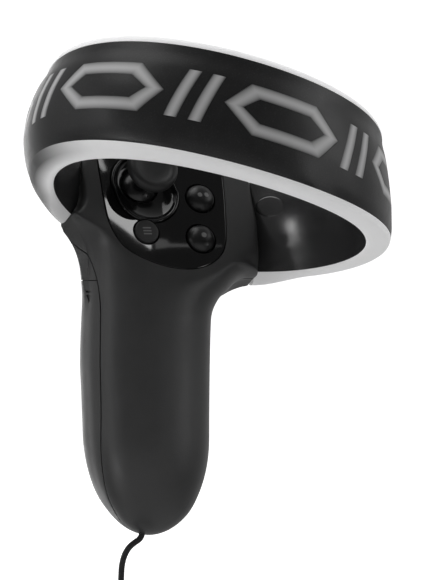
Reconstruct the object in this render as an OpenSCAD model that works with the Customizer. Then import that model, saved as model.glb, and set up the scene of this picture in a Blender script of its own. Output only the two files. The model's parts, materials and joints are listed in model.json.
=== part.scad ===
// Hand-held motion controller: an upright grip, a tilted thumb face and an open tracking ring.
// X points right and Y away from the user; Z runs up the grip, with zero at the grip's centre.

/* [Grip and shells] */
// Half width of the grip
grip_a = 18.4; // [18.2:0.1:18.6]
// Half depth of the grip on the user's side
grip_near = 18; // [17.8:0.1:18.4]
// Half depth of the grip on the far side
grip_far = 17.3; // [17.2:0.1:17.6]
// Wall thickness of the shells
wall = 2; // [1.8:0.1:2.2]
// Gap along the seams between the shells
seam = 0.3; // [0.2:0.05:0.4]
// Height of the cross seam above the battery cover
cross_z = 35.3; // [35:0.1:35.6]

/* [Tracking ring] */
// Inner radius of the ring
ring_ri = 43.9; // [43.7:0.1:44]
// Wall of the ring's outer band
band_wall = 1.6; // [1.4:0.1:1.7]
// Depth of the inlaid light strips
inlay_depth = 0.7; // [0.5:0.05:0.8]

/* [Thumb face] */
// Radius of the two round face buttons
button_r = 4.3; // [4.1:0.1:4.4]
// Height of the face buttons' domes
button_h = 2.6; // [2.2:0.1:2.8]
// Radius of the menu button
menu_r = 3.6; // [3.4:0.1:3.7]
// Radius of the thumbstick cap
cap_r = 7.6; // [7.2:0.1:8]
// Clearance around each button
button_gap = 0.35; // [0.3:0.05:0.4]

/* [Trigger and side buttons] */
// Width of the trigger
trigger_w = 16; // [15:0.5:16]
// Radius of the trigger's pin
pin_r = 1.5; // [1.4:0.05:1.5]

/* [Battery] */
// Radius of one cell
cell_r = 7.2; // [7:0.05:7.25]

/* [Wrist strap] */
// Diameter of the strap cord
cord_d = 1.8; // [1.6:0.1:1.8]

/* [Hidden] */

// ---- ring surface: level t runs from 0 at the foot of the band to 1 at its top
ring_yc = -38.7;
ring_q = 0.00148;
ring_h = 25.4;
ring_z0 = 56.3;
radius_table = [[-0.3, 49.2], [-0.12, 49.3], [-0.08, 49.9], [-0.03, 50.6], [0, 50.9], [0.12, 51.5], [0.3, 51.7], [0.5, 51.2], [0.75, 49.7], [1, 47.4]];
function c01(t) = min(max(t, 0), 1);
function ring_xc(t) = let (c = c01(t)) 3.4 + 1.3 * c - 5.2 * c * (1 - c);
function ring_kx(t) = 0.281 + 0.008 * c01(t);
function ring_ky(t) = 0.185 + 0.067 * c01(t);
function ring_r(t) = lookup(t, radius_table);
function ring_in(t) = ring_ri - 0.6 * c01(t);
function ring_z(t, X, Y) = ring_z0 + ring_h * t - ring_kx(t) * X - ring_ky(t) * Y - ring_q * Y * Y;
function rp(phi, R, t, dz = 0) = let (X = R * cos(phi), Y = R * sin(phi))
  [ring_xc(t) + X, ring_yc + Y, ring_z(t, X, Y) + dz];
// the two ends of the ring, where it meets the head; the outer edge comes nearer to the head than the inner one
phi_l_table = [[-0.12, 132], [-0.03, 129.5], [0.06, 127.2], [0.2, 125], [0.4, 124], [0.6, 124.4], [1, 126]];
phi_r_table = [[-0.13, 48.2], [0.2, 47.6], [0.45, 47.6], [0.65, 48.8], [0.8, 50.2], [1, 52]];
function end_slant(R) = 5 * (R - 43.9) / 6.4;
function phi_l(t, R = 43.9) = lookup(t, phi_l_table) - end_slant(R);
function phi_r(t, R = 43.9) = lookup(t, phi_r_table) + end_slant(R);

// ---- body sections: one closed outline at each height Z0 on the grip's axis
function sgn(v) = v < 0 ? -1 : 1;
function smooth(a, b, x) = let (u = c01((x - a) / (b - a))) u * u * (3 - 2 * u);
function level(Z0) = lookup(Z0, [[40, -0.3], [45.3, -0.1], [47.88, 0], [53.36, 0.25], [59.11, 0.5], [65.02, 0.75], [71.09, 1], [73.13, 1.08]]);
function tilt0(t) = -ring_kx(t) * ring_xc(t) - ring_ky(t) * ring_yc + ring_q * ring_yc * ring_yc;
function zs(x, y, Z0) = let (t = level(Z0), X = x - ring_xc(t), Y = y - ring_yc)
  Z0 - smooth(24, 46, Z0) * (ring_kx(t) * X + ring_ky(t) * Y + ring_q * Y * Y - tilt0(t));
function foot(Z0) = Z0 > -10 ? 1 : sqrt(max(0.0004, 1 - pow((Z0 + 10) / 29.8, 2)));
function side_l(Z0) = lookup(Z0, [[-40, 1.2], [-33.9, 1.2], [-27.7, 0.8], [-19.8, 0.65], [-9.6, 0.3], [2.7, -0.2], [12.4, -0.6], [23.6, -0.4], [30, -0.2]]) - grip_a * foot(Z0);
function side_r(Z0) = lookup(Z0, [[-40, 0.6], [-33.9, 0.6], [-27.7, 0.1], [-19.8, -0.25], [-9.6, -0.55], [12.4, -0.3], [23.6, 0], [30, 0.9]]) + grip_a * foot(Z0);
function near_y(Z0) = -lookup(Z0, [[10, grip_near], [20, grip_near + 0.2], [30, grip_near + 0.6], [46, grip_near + 1.4]]) * foot(Z0);
function far_y(Z0) = lookup(Z0, [[10, grip_far], [20, grip_far - 0.8], [28, grip_far - 2.3], [34, grip_far - 3.7], [40, grip_far - 4.9], [46, 11.6]]) * foot(Z0);
function flare_l(Z0) = lookup(Z0, [[31, 0], [34, 0.003], [36, 0.015], [38, 0.065], [40, 0.17], [42, 0.42], [43.2, 0.72], [44.2, 0.94], [44.8, 1]]);
function flare_r(Z0) = lookup(Z0, [[26, 0], [30, 0.088], [34, 0.3], [37, 0.43], [39.5, 0.56], [41.5, 0.72], [43, 1]]);
function xy(p) = [p[0], p[1]];
function mix(a, b, h) = a * (1 - h) + b * h;
// the thumb face is a plane: a point on it, and its lean of 25 degrees
face_p = [0, -17, 38.7];
face_lean = 65;
function y_face(x, Z0, y = -10, n = 5) = n == 0 ? y : y_face(x, Z0, -17 + 0.4663 * (zs(x, y, Z0) - 38.7), n - 1);
n_near = 27;
n_far = 21;
se = 2 / 2.3;
function outline(Z0) =
  let (t = level(Z0), hl = flare_l(Z0), hr = flare_r(Z0), hf = (hl + hr) / 2,
    fl = foot(Z0),
    il = xy(rp(phi_l(t) - 0.2, ring_in(t), t)), ol = xy(rp(phi_l(t, ring_r(t)) - 0.2, ring_r(t), t)),
    ir = xy(rp(phi_r(t) + 0.2, ring_in(t), t)), or = xy(rp(phi_r(t, ring_r(t)) + 0.2, ring_r(t), t)),
    pl = mix([side_l(Z0), -1.2 * fl], il, hl), ql = mix([side_l(Z0), 1.2 * fl], ol, hl),
    pr = mix([side_r(Z0), -1.2 * fl], ir, hr), qr = mix([side_r(Z0), 1.2 * fl], or, hr),
    mn = (pl + pr) / 2, bn = mn[1] - near_y(Z0), mf = (ql + qr) / 2, bf = far_y(Z0) - mf[1])
  concat(
    [for (i = [0:n_near - 1]) let (a = 180 + 180 * i / (n_near - 1), c = i == 0 ? -1 : i == n_near - 1 ? 1 : cos(a), s = i == 0 || i == n_near - 1 ? 0 : abs(sin(a)),
        p = mn + (pr - pl) / 2 * sgn(c) * pow(abs(c), se) - [0, bn * pow(s, se)],
        yf = Z0 > 30 ? max(p[1], y_face(p[0], Z0)) : p[1],
        yw = Z0 > 44.9 ? ring_yc + sqrt(max(0, pow(ring_in(t), 2) - pow(p[0] - ring_xc(t), 2))) : 100)
      [p[0], min(yf, yw)]],
    [for (i = [0:n_far - 1]) let (a = 180 * i / (n_far - 1), c = i == 0 ? 1 : i == n_far - 1 ? -1 : cos(a), s = i == 0 || i == n_far - 1 ? 0 : sin(a),
        f = phi_r(t, ring_r(t)) + 0.2 + (phi_l(t, ring_r(t)) - phi_r(t, ring_r(t)) - 0.4) * a / 180,
        g = mf + (qr - ql) / 2 * sgn(c) * pow(abs(c), se) + [0, bf * pow(s, se)])
      mix(g, xy(rp(f, ring_r(t), t)), hf)]);
function lo(v, k) = min([for (p = v) p[k]]);
function hi(v, k) = max([for (p = v) p[k]]);
// an outline drawn in by w all round
function inset(v, w) = let (cx = (lo(v, 0) + hi(v, 0)) / 2, cy = (lo(v, 1) + hi(v, 1)) / 2,
    ax = (hi(v, 0) - lo(v, 0)) / 2, ay = (hi(v, 1) - lo(v, 1)) / 2)
  [for (p = v) [cx + (p[0] - cx) * max(0.05, 1 - w / ax), cy + (p[1] - cy) * max(0.05, 1 - w / ay)]];
outer_levels = [-39.78, -39.3, -38, -36, -33, -29, -24, -18, -10, 0, 10, 20, 26, 30, 33, 35.5, 38, 40, 41.5, 42.5, 43.2, 44, 44.8, 46.5, 49, 53, 57, 61, 65, 69, 73.2];
inner_levels = [-36.5, -35, -32, -28, -23, -17, -9, 2, 14, 24, 30, 34, 38, 41, 43, 44.8, 46.6, 50, 55, 60, 65, 70];
module loft(levels, w) {
  rows = [for (Z0 = levels) let (o = w > 0 ? inset(outline(Z0), w) : outline(Z0)) [for (p = o) [p[0], p[1], zs(p[0], p[1], Z0)]]];
  n = n_near + n_far;
  m = len(levels);
  mid = [for (j = [0, m - 1]) let (cx = (lo(rows[j], 0) + hi(rows[j], 0)) / 2, cy = (lo(rows[j], 1) + hi(rows[j], 1)) / 2) [cx, cy, zs(cx, cy, levels[j])]];
  polyhedron(concat([for (r = rows) for (p = r) p], mid), concat(
    [for (j = [0:m - 2]) for (i = [0:n - 1]) let (k = (i + 1) % n) [j * n + i, (j + 1) * n + i, (j + 1) * n + k]],
    [for (j = [0:m - 2]) for (i = [0:n - 1]) let (k = (i + 1) % n) [j * n + i, (j + 1) * n + k, j * n + k]],
    [for (i = [0:n - 1]) [m * n, i, (i + 1) % n]],
    [for (i = [0:n - 1]) [m * n + 1, (m - 1) * n + (i + 1) % n, (m - 1) * n + i]]));
}
module body() { loft(outer_levels, 0); }
module cavity() {
  intersection() {
    loft(inner_levels, wall);
    translate([-20.5, -60, -60]) cube([48, 120, 160]);
  }
}
seam_table = [[-60, 0], [-40, 0], [-30, -3.5], [-20, -6], [-10, -7.4], [0, -8], [15, -8.3], [26, -8.2], [31, -7.5], [35.4, -6.3], [38, -5.1], [41.5, -2.9], [45.2, 0], [49, 1.3], [52.5, 1.9], [58, 2.2], [110, 2.2]];
module side_of_seam(dir, off) {
  rotate([90, 0, 90]) translate([0, 0, -70]) linear_extrude(140)
    polygon(concat([for (s = seam_table) [s[1] + dir * off, s[0]]], [[dir * 90, 110], [dir * 90, -60]]));
}
module in_face() { translate(face_p) rotate([face_lean, 0, 0]) children(); }

// ---- thumb face layout: x to the right and y up the face, from the face's datum
stick_at = [-3.5, 28];
lower_at = [12, 9.7];
upper_at = [14.2, 22.9];
menu_at = [-4.9, 11.7];
pivot_d = 6.6;
// the dish's rim is round about two centres; it narrows to a round hole about the stick
dish_low = [-2.5, 24.7];
dish_high = [-3.3, 27];
dish_n = 48;
function dish_loop(r, u) = let (a = mix(stick_at, dish_low, u), b = mix(stick_at, dish_high, u))
  [for (i = [0:dish_n - 1]) let (w = 360 * (i + 0.5) / dish_n) (w < 180 ? b : a) + r * [cos(w), sin(w)]];
panel_pts = [[-16.2, 41.2], [-16.3, 30], [-16.3, 18], [-15.8, 14.4], [-14.8, 11.3], [-13.3, 8.6], [-11.4, 6.4], [-8.4, 4.2], [-4.8, 2.4], [-1.2, 1.1], [2.3, 0.3], [6.8, 0], [10.4, 0.5], [13.3, 1.5], [15.8, 2.9], [17.7, 4.6], [19, 6.6], [19.9, 8.8], [20.8, 13], [21.5, 18], [22.3, 24], [22.9, 30.8]];
module panel_shape() { polygon(panel_pts); }
post_at = [[-12.6, 8.6], [19.2, 14.5]];

// the battery cover's right edge, where the head's wing begins
cover_x = 20.3;

// ---- trigger layout in the Y and Z directions
trig_y = 5.8;
trig_z = 47;
trig_x = 0.5;

module front_shell() {
  color([0.2, 0.2, 0.21]) resize([0, 0, 0]) difference() {
    intersection() { body(); side_of_seam(-1, seam / 2); }
    difference() {
      cavity();
      in_face() {
        for (p = post_at) translate([p[0], p[1], -11]) cylinder(r = 2.1, h = 10, $fn = 24);
        translate([0, 0, -3.6]) linear_extrude(1.5) difference() { offset(delta = 2.5) panel_shape(); offset(delta = -1.3) panel_shape(); }
      }
    }
    in_face() translate([0, 0, -2.05]) linear_extrude(20) offset(delta = 0.15) panel_shape();
    in_face() translate([0, 0, -7]) linear_extrude(6) difference() {
      offset(delta = -1.32) panel_shape();
      for (p = post_at) translate(p) circle(r = 2.12, $fn = 24);
    }
    in_face() translate([0, 0, -3.7]) linear_extrude(3) polygon(dish_loop(10.4, 1));
    in_face() for (p = post_at) translate([p[0], p[1], -12]) cylinder(r = 0.95, h = 7, $fn = 20);
    translate([-2.4, -2.6, -45]) cylinder(r = 1.35, h = 10, $fn = 20);
    translate([-6.8, -2.6, -35.6]) rotate([0, 90, 0]) cylinder(r = 0.95, h = 15.4, $fn = 20);
  }
}

module tongue(off) { translate([-11 - off, 5, 6 - off]) cube([22 + 2 * off, 40, 60]); }
module grip_capsule(r, y0, y1) {
  for (z = [14, 22]) translate([0.3, y1, z]) rotate([90, 0, 0]) cylinder(r = r, h = y1 - y0, $fn = 32);
  translate([0.3 - r, y0, 14]) cube([2 * r, y1 - y0, 8]);
}
module bumper_arc(r0, r1, grow) {
  w = 11 + grow;
  translate([3.4, ring_yc, 0]) linear_extrude(6 + 2 * grow, center = true)
    polygon(concat([for (i = [10:-1:-10]) let (x = w * i / 10) [x, sqrt(r1 * r1 - x * x)]],
      [for (i = [-10:10]) let (x = w * i / 10) [x, sqrt(r0 * r0 - x * x)]]));
}
// a lip inside the rear shell that reaches down behind the battery cover's top edge
lip_levels = [22, 26, 30, 33, 35.5, 38, 41, 44];
module lip_band(w, z0, z1) {
  intersection() {
    difference() { loft(lip_levels, w); loft(lip_levels, 2.9); }
    translate([-60, -60, z0]) cube([120, 120, z1 - z0]);
  }
}
module cover_lip() {
  intersection() {
    side_of_seam(1, 0.5);
    union() { lip_band(1.5, cross_z + 0.4, cross_z + 2.4); lip_band(2.4, cross_z - 2.6, cross_z + 0.6); }
  }
}
module rear_shell() {
  color([0.2, 0.2, 0.21]) resize([0, 0, 0]) difference() {
    union() {
      difference() {
        intersection() {
          body();
          side_of_seam(1, seam / 2);
          union() {
            translate([-60, -60, cross_z + seam / 2]) cube([120, 120, 100]);
            translate([cover_x + seam, -60, 20]) cube([60, 120, 60]);
            tongue(0);
          }
        }
        difference() {
          cavity();
          translate([-12.2, 3.2, 44]) cube([3, 22, 6]);
          translate([11.8, 3.2, 44]) cube([3, 22, 6]);
        }
      }
      cover_lip();
    }
    translate([-14, trig_y, trig_z]) rotate([0, 90, 0]) cylinder(r = pin_r + 0.03, h = 29.5, $fn = 40);
    translate([trig_x - trigger_w / 2 - 0.5, 5, 33]) cube([trigger_w + 1, 30, 15.6]);
    translate([0, 0, 55.5]) bumper_arc(43, 60, 0.4);
    grip_capsule(4.2, 9, 30);
  }
}

module battery_cover() {
  color([0.22, 0.22, 0.23]) resize([0, 0, 0]) difference() {
    intersection() {
      body();
      side_of_seam(1, seam / 2);
      translate([-60, -60, -60]) cube([60 + cover_x, 120, 60 + cross_z - seam / 2]);
    }
    cavity();
    tongue(0.35);
  }
}

module face_panel() {
  color([0.08, 0.08, 0.085]) in_face() translate([0, 0, -2]) difference() {
    linear_extrude(2) panel_shape();
    translate([0, 0, -1]) linear_extrude(5) polygon(dish_loop(10.1, 1));
    translate([lower_at[0], lower_at[1], -1]) cylinder(r = button_r + button_gap, h = 5, $fn = 48);
    translate([upper_at[0], upper_at[1], -1]) cylinder(r = button_r + button_gap, h = 5, $fn = 48);
    translate([menu_at[0], menu_at[1], -1]) cylinder(r = menu_r + button_gap, h = 5, $fn = 48);
  }
}

// ---- thumbstick
module at_stick() { in_face() translate([stick_at[0], stick_at[1], 0]) children(); }
dish_rim = [[10, -3, 1], [10, 0.2, 1], [9.8, 0.55, 1], [9.4, 0.6, 1], [9.1, 0.35, 0.97], [8.6, -0.7, 0.82], [7.6, -1.6, 0.5], [6.6, -2.1, 0.15], [6, -2.2, 0], [6.7, -3, 0]];
module dish_solid() {
  m = len(dish_rim);
  polyhedron([for (k = dish_rim) for (p = dish_loop(k[0], k[2])) [p[0], p[1], k[1]]], concat(
    [for (k = [0:m - 1]) for (i = [0:dish_n - 1]) let (h = (k + 1) % m, j = (i + 1) % dish_n) [k * dish_n + i, h * dish_n + i, h * dish_n + j]],
    [for (k = [0:m - 1]) for (i = [0:dish_n - 1]) let (h = (k + 1) % m, j = (i + 1) % dish_n) [k * dish_n + i, h * dish_n + j, k * dish_n + j]]));
}
module stick_dish() {
  color([0.06, 0.06, 0.065]) resize([0, 0, 0]) in_face() difference() {
    dish_solid();
    translate([menu_at[0], menu_at[1], -2.3]) cylinder(r = menu_r + button_gap, h = 5, $fn = 48);
    translate([menu_at[0], menu_at[1], -5]) cylinder(r = menu_r + 0.35 + button_gap, h = 2.8, $fn = 48);
  }
}
module stick_cap() {
  color([0.1, 0.1, 0.1]) at_stick() difference() {
    rotate_extrude($fn = 72)
      polygon([[0, 0.2], [2.4, 0.2], [2.6, 0.5], [2.6, 4.6], [3.1, 5.9], [4.6, 6.8], [6.4, 7.3], [cap_r - 0.3, 7.9], [cap_r, 8.7], [cap_r, 9.6], [cap_r - 0.4, 10.5], [cap_r - 1.2, 11], [5.6, 10.9], [4.9, 10.5], [3.6, 10.1], [1.8, 9.9], [0, 9.85]]);
    cylinder(r = 1.42, h = 7.7, $fn = 32);
  }
}
// a domed skirt below the cap, about the point that the stick tilts round
module stick_boot() {
  color([0.05, 0.05, 0.055]) at_stick() translate([0, 0, -pivot_d]) difference() {
    rotate_extrude($fn = 72) polygon(concat([for (a = [0:3:51]) 7 * [sin(a), cos(a)]], [for (a = [51:-3:0]) 6.3 * [sin(a), cos(a)]]));
    cylinder(r = 1.42, h = 10, $fn = 32);
  }
}
module stick_shaft() {
  color([0.75, 0.75, 0.77]) at_stick() translate([0, 0, -8.4]) cylinder(r = 1.4, h = 15.9, $fn = 32);
}
module stick_pivot() {
  color([0.8, 0.8, 0.78]) at_stick() translate([0, 0, -pivot_d]) difference() {
    union() {
      cube([4.2, 6, 2.4], center = true);
      translate([0, 4.3, 0]) rotate([90, 0, 0]) cylinder(r = 0.65, h = 8.6, $fn = 24);
    }
    cylinder(r = 1.46, h = 10, center = true, $fn = 32);
  }
}
module stick_yoke() {
  color([0.55, 0.55, 0.57]) at_stick() translate([0, 0, -pivot_d]) difference() {
    union() {
      cube([9.8, 9.8, 2.4], center = true);
      translate([-6.4, 0, 0]) rotate([0, 90, 0]) cylinder(r = 0.8, h = 12.8, $fn = 24);
    }
    cube([6.8, 6.8, 10], center = true);
    translate([0, 5, 0]) rotate([90, 0, 0]) cylinder(r = 0.71, h = 10, $fn = 24);
  }
}
module stick_base() {
  color([0.3, 0.3, 0.32]) at_stick() difference() {
    union() {
      translate([-6.7, -6.1, -10.4]) cube([13.4, 12.2, 5.1]);
      translate([-6.7, -6.1, -11]) cube([13.4, 3.6, 0.7]);
    }
    translate([-5.4, -5.4, -9.6]) cube([10.8, 10.8, 10]);
    translate([-9, 0, -pivot_d]) rotate([0, 90, 0]) cylinder(r = 0.86, h = 18, $fn = 24);
  }
}

// ---- buttons
module face_button(r, h, crown) {
  rotate_extrude($fn = 72) polygon(concat([[0, -3.4], [r + 0.9, -3.4], [r + 0.9, -2.6], [r, -2.6]],
    [for (a = [0:9:81]) [r * pow(cos(a), crown), (h + 0.3) * pow(sin(a), 1.1) - 0.3]], [[0, h]]));
}
module button_lower() { color([0.07, 0.07, 0.075]) in_face() translate([lower_at[0], lower_at[1], 0]) face_button(button_r, button_h, 0.8); }
module button_upper() { color([0.07, 0.07, 0.075]) in_face() translate([upper_at[0], upper_at[1], 0]) face_button(button_r, button_h, 0.8); }
module menu_button() {
  color([0.2, 0.2, 0.2]) in_face() translate([menu_at[0], menu_at[1], 0]) rotate_extrude($fn = 64)
    polygon([[0, -3.4], [menu_r + 0.35, -3.4], [menu_r + 0.35, -2.6], [menu_r, -2.6], [menu_r, 0.4], [menu_r - 0.1, 0.65], [menu_r - 0.4, 0.8], [2.4, 0.86], [0, 0.9]]);
}
module button_membrane() {
  color([0.55, 0.57, 0.6]) in_face() {
    for (p = [lower_at, upper_at, menu_at]) translate([p[0], p[1], -7.2])
      rotate_extrude($fn = 40) polygon([[0, 0], [3.2, 0], [2.4, 2.2], [1.6, 2.5], [0, 2.5]]);
    translate([0, 0, -8]) linear_extrude(0.8) difference() {
      polygon([[-8.6, 8], [-6, 6.6], [16, 5.2], [18, 8], [18.6, 24], [17, 27], [11, 27], [8.4, 16.4], [-8.6, 16.4]]);
      translate(post_at[1]) circle(r = 2.5, $fn = 24);
    }
  }
}
module main_board() {
  color([0.12, 0.3, 0.2]) in_face() translate([0, 0, -12.6]) difference() {
    linear_extrude(1.55) polygon([[-12, 5.4], [16, 4.9], [21.2, 9], [21.2, 20], [16, 26], [-9, 26], [-14.6, 22], [-14.6, 8]]);
    for (p = post_at) translate([p[0], p[1], -1]) cylinder(r = 1.1, h = 5, $fn = 24);
  }
}
module board_screws() {
  color([0.7, 0.7, 0.72]) in_face() for (p = post_at) translate([p[0], p[1], 0]) {
    translate([0, 0, -13.9]) cylinder(r = 1.9, h = 1.25, $fn = 24);
    translate([0, 0, -12.8]) cylinder(r = 0.85, h = 7, $fn = 24);
  }
}

// ---- tracking ring: bands swept round the open ring from one end to the other
// a band's point: radius, level, offset in height, and its share in the lower rim's deeper ends
function ring_pt(f, p, g) = let (te = p[1] + p[2] / ring_h, a = phi_l(te, p[0]) + g, b = phi_r(te, p[0]) + 360 - g,
    drop = len(p) > 3 ? p[3] * (1.1 - 1.1 * smooth(0, 0.07, f) + 2.1 * smooth(0.92, 1, f)) : 0)
  rp(a + (b - a) * f, p[0], p[1], p[2] - drop);
module open_band(A, B, steps, g = 0.2) {
  n = len(A);
  k = 2 * n;
  prof = concat(A, [for (i = [n - 1:-1:0]) B[i]]);
  pts = [for (j = [0:steps]) for (p = prof) ring_pt(j / steps, p, g)];
  polyhedron(pts, concat(
    [for (j = [0:steps - 1]) for (i = [0:k - 1]) let (m = (i + 1) % k) [j * k + i, j * k + m, (j + 1) * k + m]],
    [for (j = [0:steps - 1]) for (i = [0:k - 1]) let (m = (i + 1) % k) [j * k + i, (j + 1) * k + m, (j + 1) * k + i]],
    [for (i = [0:n - 2]) each [[k - 1 - i, i + 1, i], [k - 1 - i, k - 2 - i, i + 1]]],
    [for (i = [0:n - 2]) let (e = steps * k) each [[e + k - 1 - i, e + i, e + i + 1], [e + k - 1 - i, e + i + 1, e + k - 2 - i]]]));
}
band_levels = [0, 0.12, 0.3, 0.5, 0.75, 1];
module band_solid() {
  open_band([for (t = band_levels) [ring_r(t), t, 0]], [for (t = band_levels) [ring_r(t) - band_wall, t, 0]], 72);
}
// inlaid strips: long six-sided loops with a pair of leaning bars between each two
hex_out = [[19, 0], [11, 0.24], [-11, 0.24], [-19, 0], [-11, -0.24], [11, -0.24]];
hex_in = [[13.4, 0], [8.4, 0.115], [-8.4, 0.115], [-13.4, 0], [-8.4, -0.115], [8.4, -0.115]];
hex_mid = [158, 214, 270, 326, 382];
bar_mid = [186, 242, 298, 354];
inlay_t = 0.53;
module hex_loop(phi, g, up, down) {
  per = 4;
  n = 6 * per;
  function along(v, i) = let (s = floor(i / per), u = (i % per) / per) mix(v[s], v[(s + 1) % 6], u);
  function grown(v, k) = [v[0] * (1 + k), v[1] * (1 + k)];
  function q(v, dr) = let (t = inlay_t + v[1]) rp(phi + v[0], ring_r(t) + dr, t);
  pts = [for (i = [0:n - 1]) let (o = grown(along(hex_out, i), g / 8), h = grown(along(hex_in, i), -g / 5)) each [q(o, up), q(h, up), q(h, down), q(o, down)]];
  polyhedron(pts, concat(
    [for (i = [0:n - 1]) for (k = [0:3]) let (a = (i + 1) % n, m = (k + 1) % 4) [i * 4 + k, i * 4 + m, a * 4 + m]],
    [for (i = [0:n - 1]) for (k = [0:3]) let (a = (i + 1) % n, m = (k + 1) % 4) [i * 4 + k, a * 4 + m, a * 4 + k]]));
}
module lean_bar(phi, g, up, down) {
  rows = 6;
  function q(i, side, dr) = let (u = i / rows, t = inlay_t + (0.24 + g * 0.03) * (2 * u - 1)) rp(phi - 3.4 + 6.8 * u + side * (1.9 + g), ring_r(t) + dr, t);
  pts = [for (i = [0:rows]) each [q(i, 1, up), q(i, -1, up), q(i, -1, down), q(i, 1, down)]];
  polyhedron(pts, concat(
    [for (i = [0:rows - 1]) for (k = [0:3]) let (m = (k + 1) % 4) [i * 4 + k, i * 4 + m, i * 4 + 4 + m]],
    [for (i = [0:rows - 1]) for (k = [0:3]) let (m = (k + 1) % 4) [i * 4 + k, i * 4 + 4 + m, i * 4 + 4 + k]],
    [[0, 2, 1], [0, 3, 2], [rows * 4, rows * 4 + 1, rows * 4 + 2], [rows * 4, rows * 4 + 2, rows * 4 + 3]]));
}
module inlay_set(g, up, down) {
  for (a = hex_mid) hex_loop(a, g, up, down);
  for (a = bar_mid) for (s = [-1, 1]) lean_bar(a + s * 3.6, g, up, down);
}
module ring_outer_band() {
  color([0.18, 0.18, 0.19]) resize([0, 0, 0]) difference() {
    band_solid();
    inlay_set(0.08, 1.5, -inlay_depth - 0.08);
  }
}
module ring_inlays() { color([0.72, 0.72, 0.73]) resize([0, 0, 0]) inlay_set(0, 0, -inlay_depth); }
module ring_lower_rim() {
  color([0.76, 0.76, 0.77]) open_band(
    [[43.95, 0, -2.5, 0], [44.8, 0, -2.9, 0.2], [47, 0, -2.9, 1], [49.2, 0, -2.4, 1], [50.6, 0, -1.3, 0.6], [50.85, 0, -0.08, 0]],
    [[45.4, 0, -2.5], [45.8, 0, -2.1], [46.6, 0, -1.8], [47.6, 0, -1.4], [48.3, 0, -0.8], [48.5, 0, -0.08]], 64);
}
module ring_top_rim() {
  color([0.78, 0.78, 0.79]) open_band(
    [[47.35, 1, 0.08], [47, 1, 1.1], [46.2, 1, 1.8], [45.2, 1, 2], [44.1, 1, 1.8], [43.5, 1, 1.1]],
    [[45.9, 1, 0.08], [45.7, 1, 0.3], [45.4, 1, 0.5], [45.1, 1, 0.7], [44.9, 1, 0.9], [44.7, 1, 1.1]], 64);
}
cap_phi = [41.5, 139.5];
module at_cap(k) {
  p = rp(cap_phi[k], ring_in(0.72), 0.72);
  translate(p) rotate([0, 0, cap_phi[k]]) rotate([0, 90, 0]) children();
}
module ring_inner_wall() {
  color([0.09, 0.09, 0.095]) resize([0, 0, 0]) difference() {
    open_band([for (t = [0, 0.35, 0.7, 1]) [ring_in(t) + 1.4, t, t == 0 ? -2.42 : t == 1 ? 1 : 0]],
      [for (t = [0, 0.35, 0.7, 1]) [ring_in(t), t, t == 0 ? -2.42 : t == 1 ? 1 : 0]], 72);
    for (k = [0, 1]) at_cap(k) {
      translate([0, 0, -3]) linear_extrude(3.75) oval(0.12);
      translate([0, 0, -3]) cylinder(r = 1.1, h = 8, $fn = 24);
    }
  }
}
module oval(g) { polygon([for (a = [0:9:351]) [(3 + g) * cos(a), (4.5 + g) * sin(a)]]); }
module ring_screw_caps() {
  color([0.1, 0.1, 0.105]) for (k = [0, 1]) at_cap(k) translate([0, 0, -0.1]) linear_extrude(0.8) oval(0);
}
module ring_screws() {
  color([0.7, 0.7, 0.72]) for (k = [0, 1]) at_cap(k) {
    translate([0, 0, 1.9]) cylinder(r = 1.8, h = 1.2, $fn = 24);
    translate([0, 0, 3]) cylinder(r = 0.9, h = 1.1, $fn = 24);
  }
}
module ring_light_strip() {
  color([0.8, 0.75, 0.6]) open_band([[48.4, 0.3, 0], [48.1, 0.55, 0]], [[48, 0.3, 0], [47.7, 0.55, 0]], 56, 14);
}

// ---- trigger group
module trigger() {
  color([0.13, 0.13, 0.135]) difference() {
    union() {
      translate([trig_x - trigger_w / 2, 0, 0]) rotate([90, 0, 90]) linear_extrude(trigger_w)
        polygon([[4.2, 49.5], [7.4, 49.6], [10, 46.9], [13.6, 46.4], [16.6, 45.2], [19.4, 43], [21.6, 40.2], [23.2, 36.8], [24.2, 33.4], [23.9, 32.5], [22.9, 32.3], [20.8, 34.2], [18.2, 36], [14.8, 37.6], [11.2, 38.6], [9.4, 40.4], [6, 43.8], [3.6, 45]]);
      translate([trig_x - trigger_w / 2, trig_y, trig_z]) rotate([0, 90, 0]) cylinder(r = 3, h = trigger_w, $fn = 48);
    }
    translate([trig_x - trigger_w, trig_y, trig_z]) rotate([0, 90, 0]) cylinder(r = pin_r + 0.06, h = 2 * trigger_w, $fn = 48);
    translate([trig_x - trigger_w / 2 - 1, 10.4, 42.6]) rotate([0, 90, 0]) cylinder(r = 1.55, h = 5, $fn = 32);
  }
}
module trigger_pin() {
  color([0.75, 0.75, 0.77]) translate([-13, trig_y, trig_z]) rotate([0, 90, 0]) cylinder(r = pin_r, h = 27, $fn = 48);
}
module trigger_magnet() {
  color([0.6, 0.6, 0.62]) translate([trig_x - trigger_w / 2 + 0.3, 10.4, 42.6]) rotate([0, 90, 0]) cylinder(r = 1.5, h = 3.6, $fn = 32);
}
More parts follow.
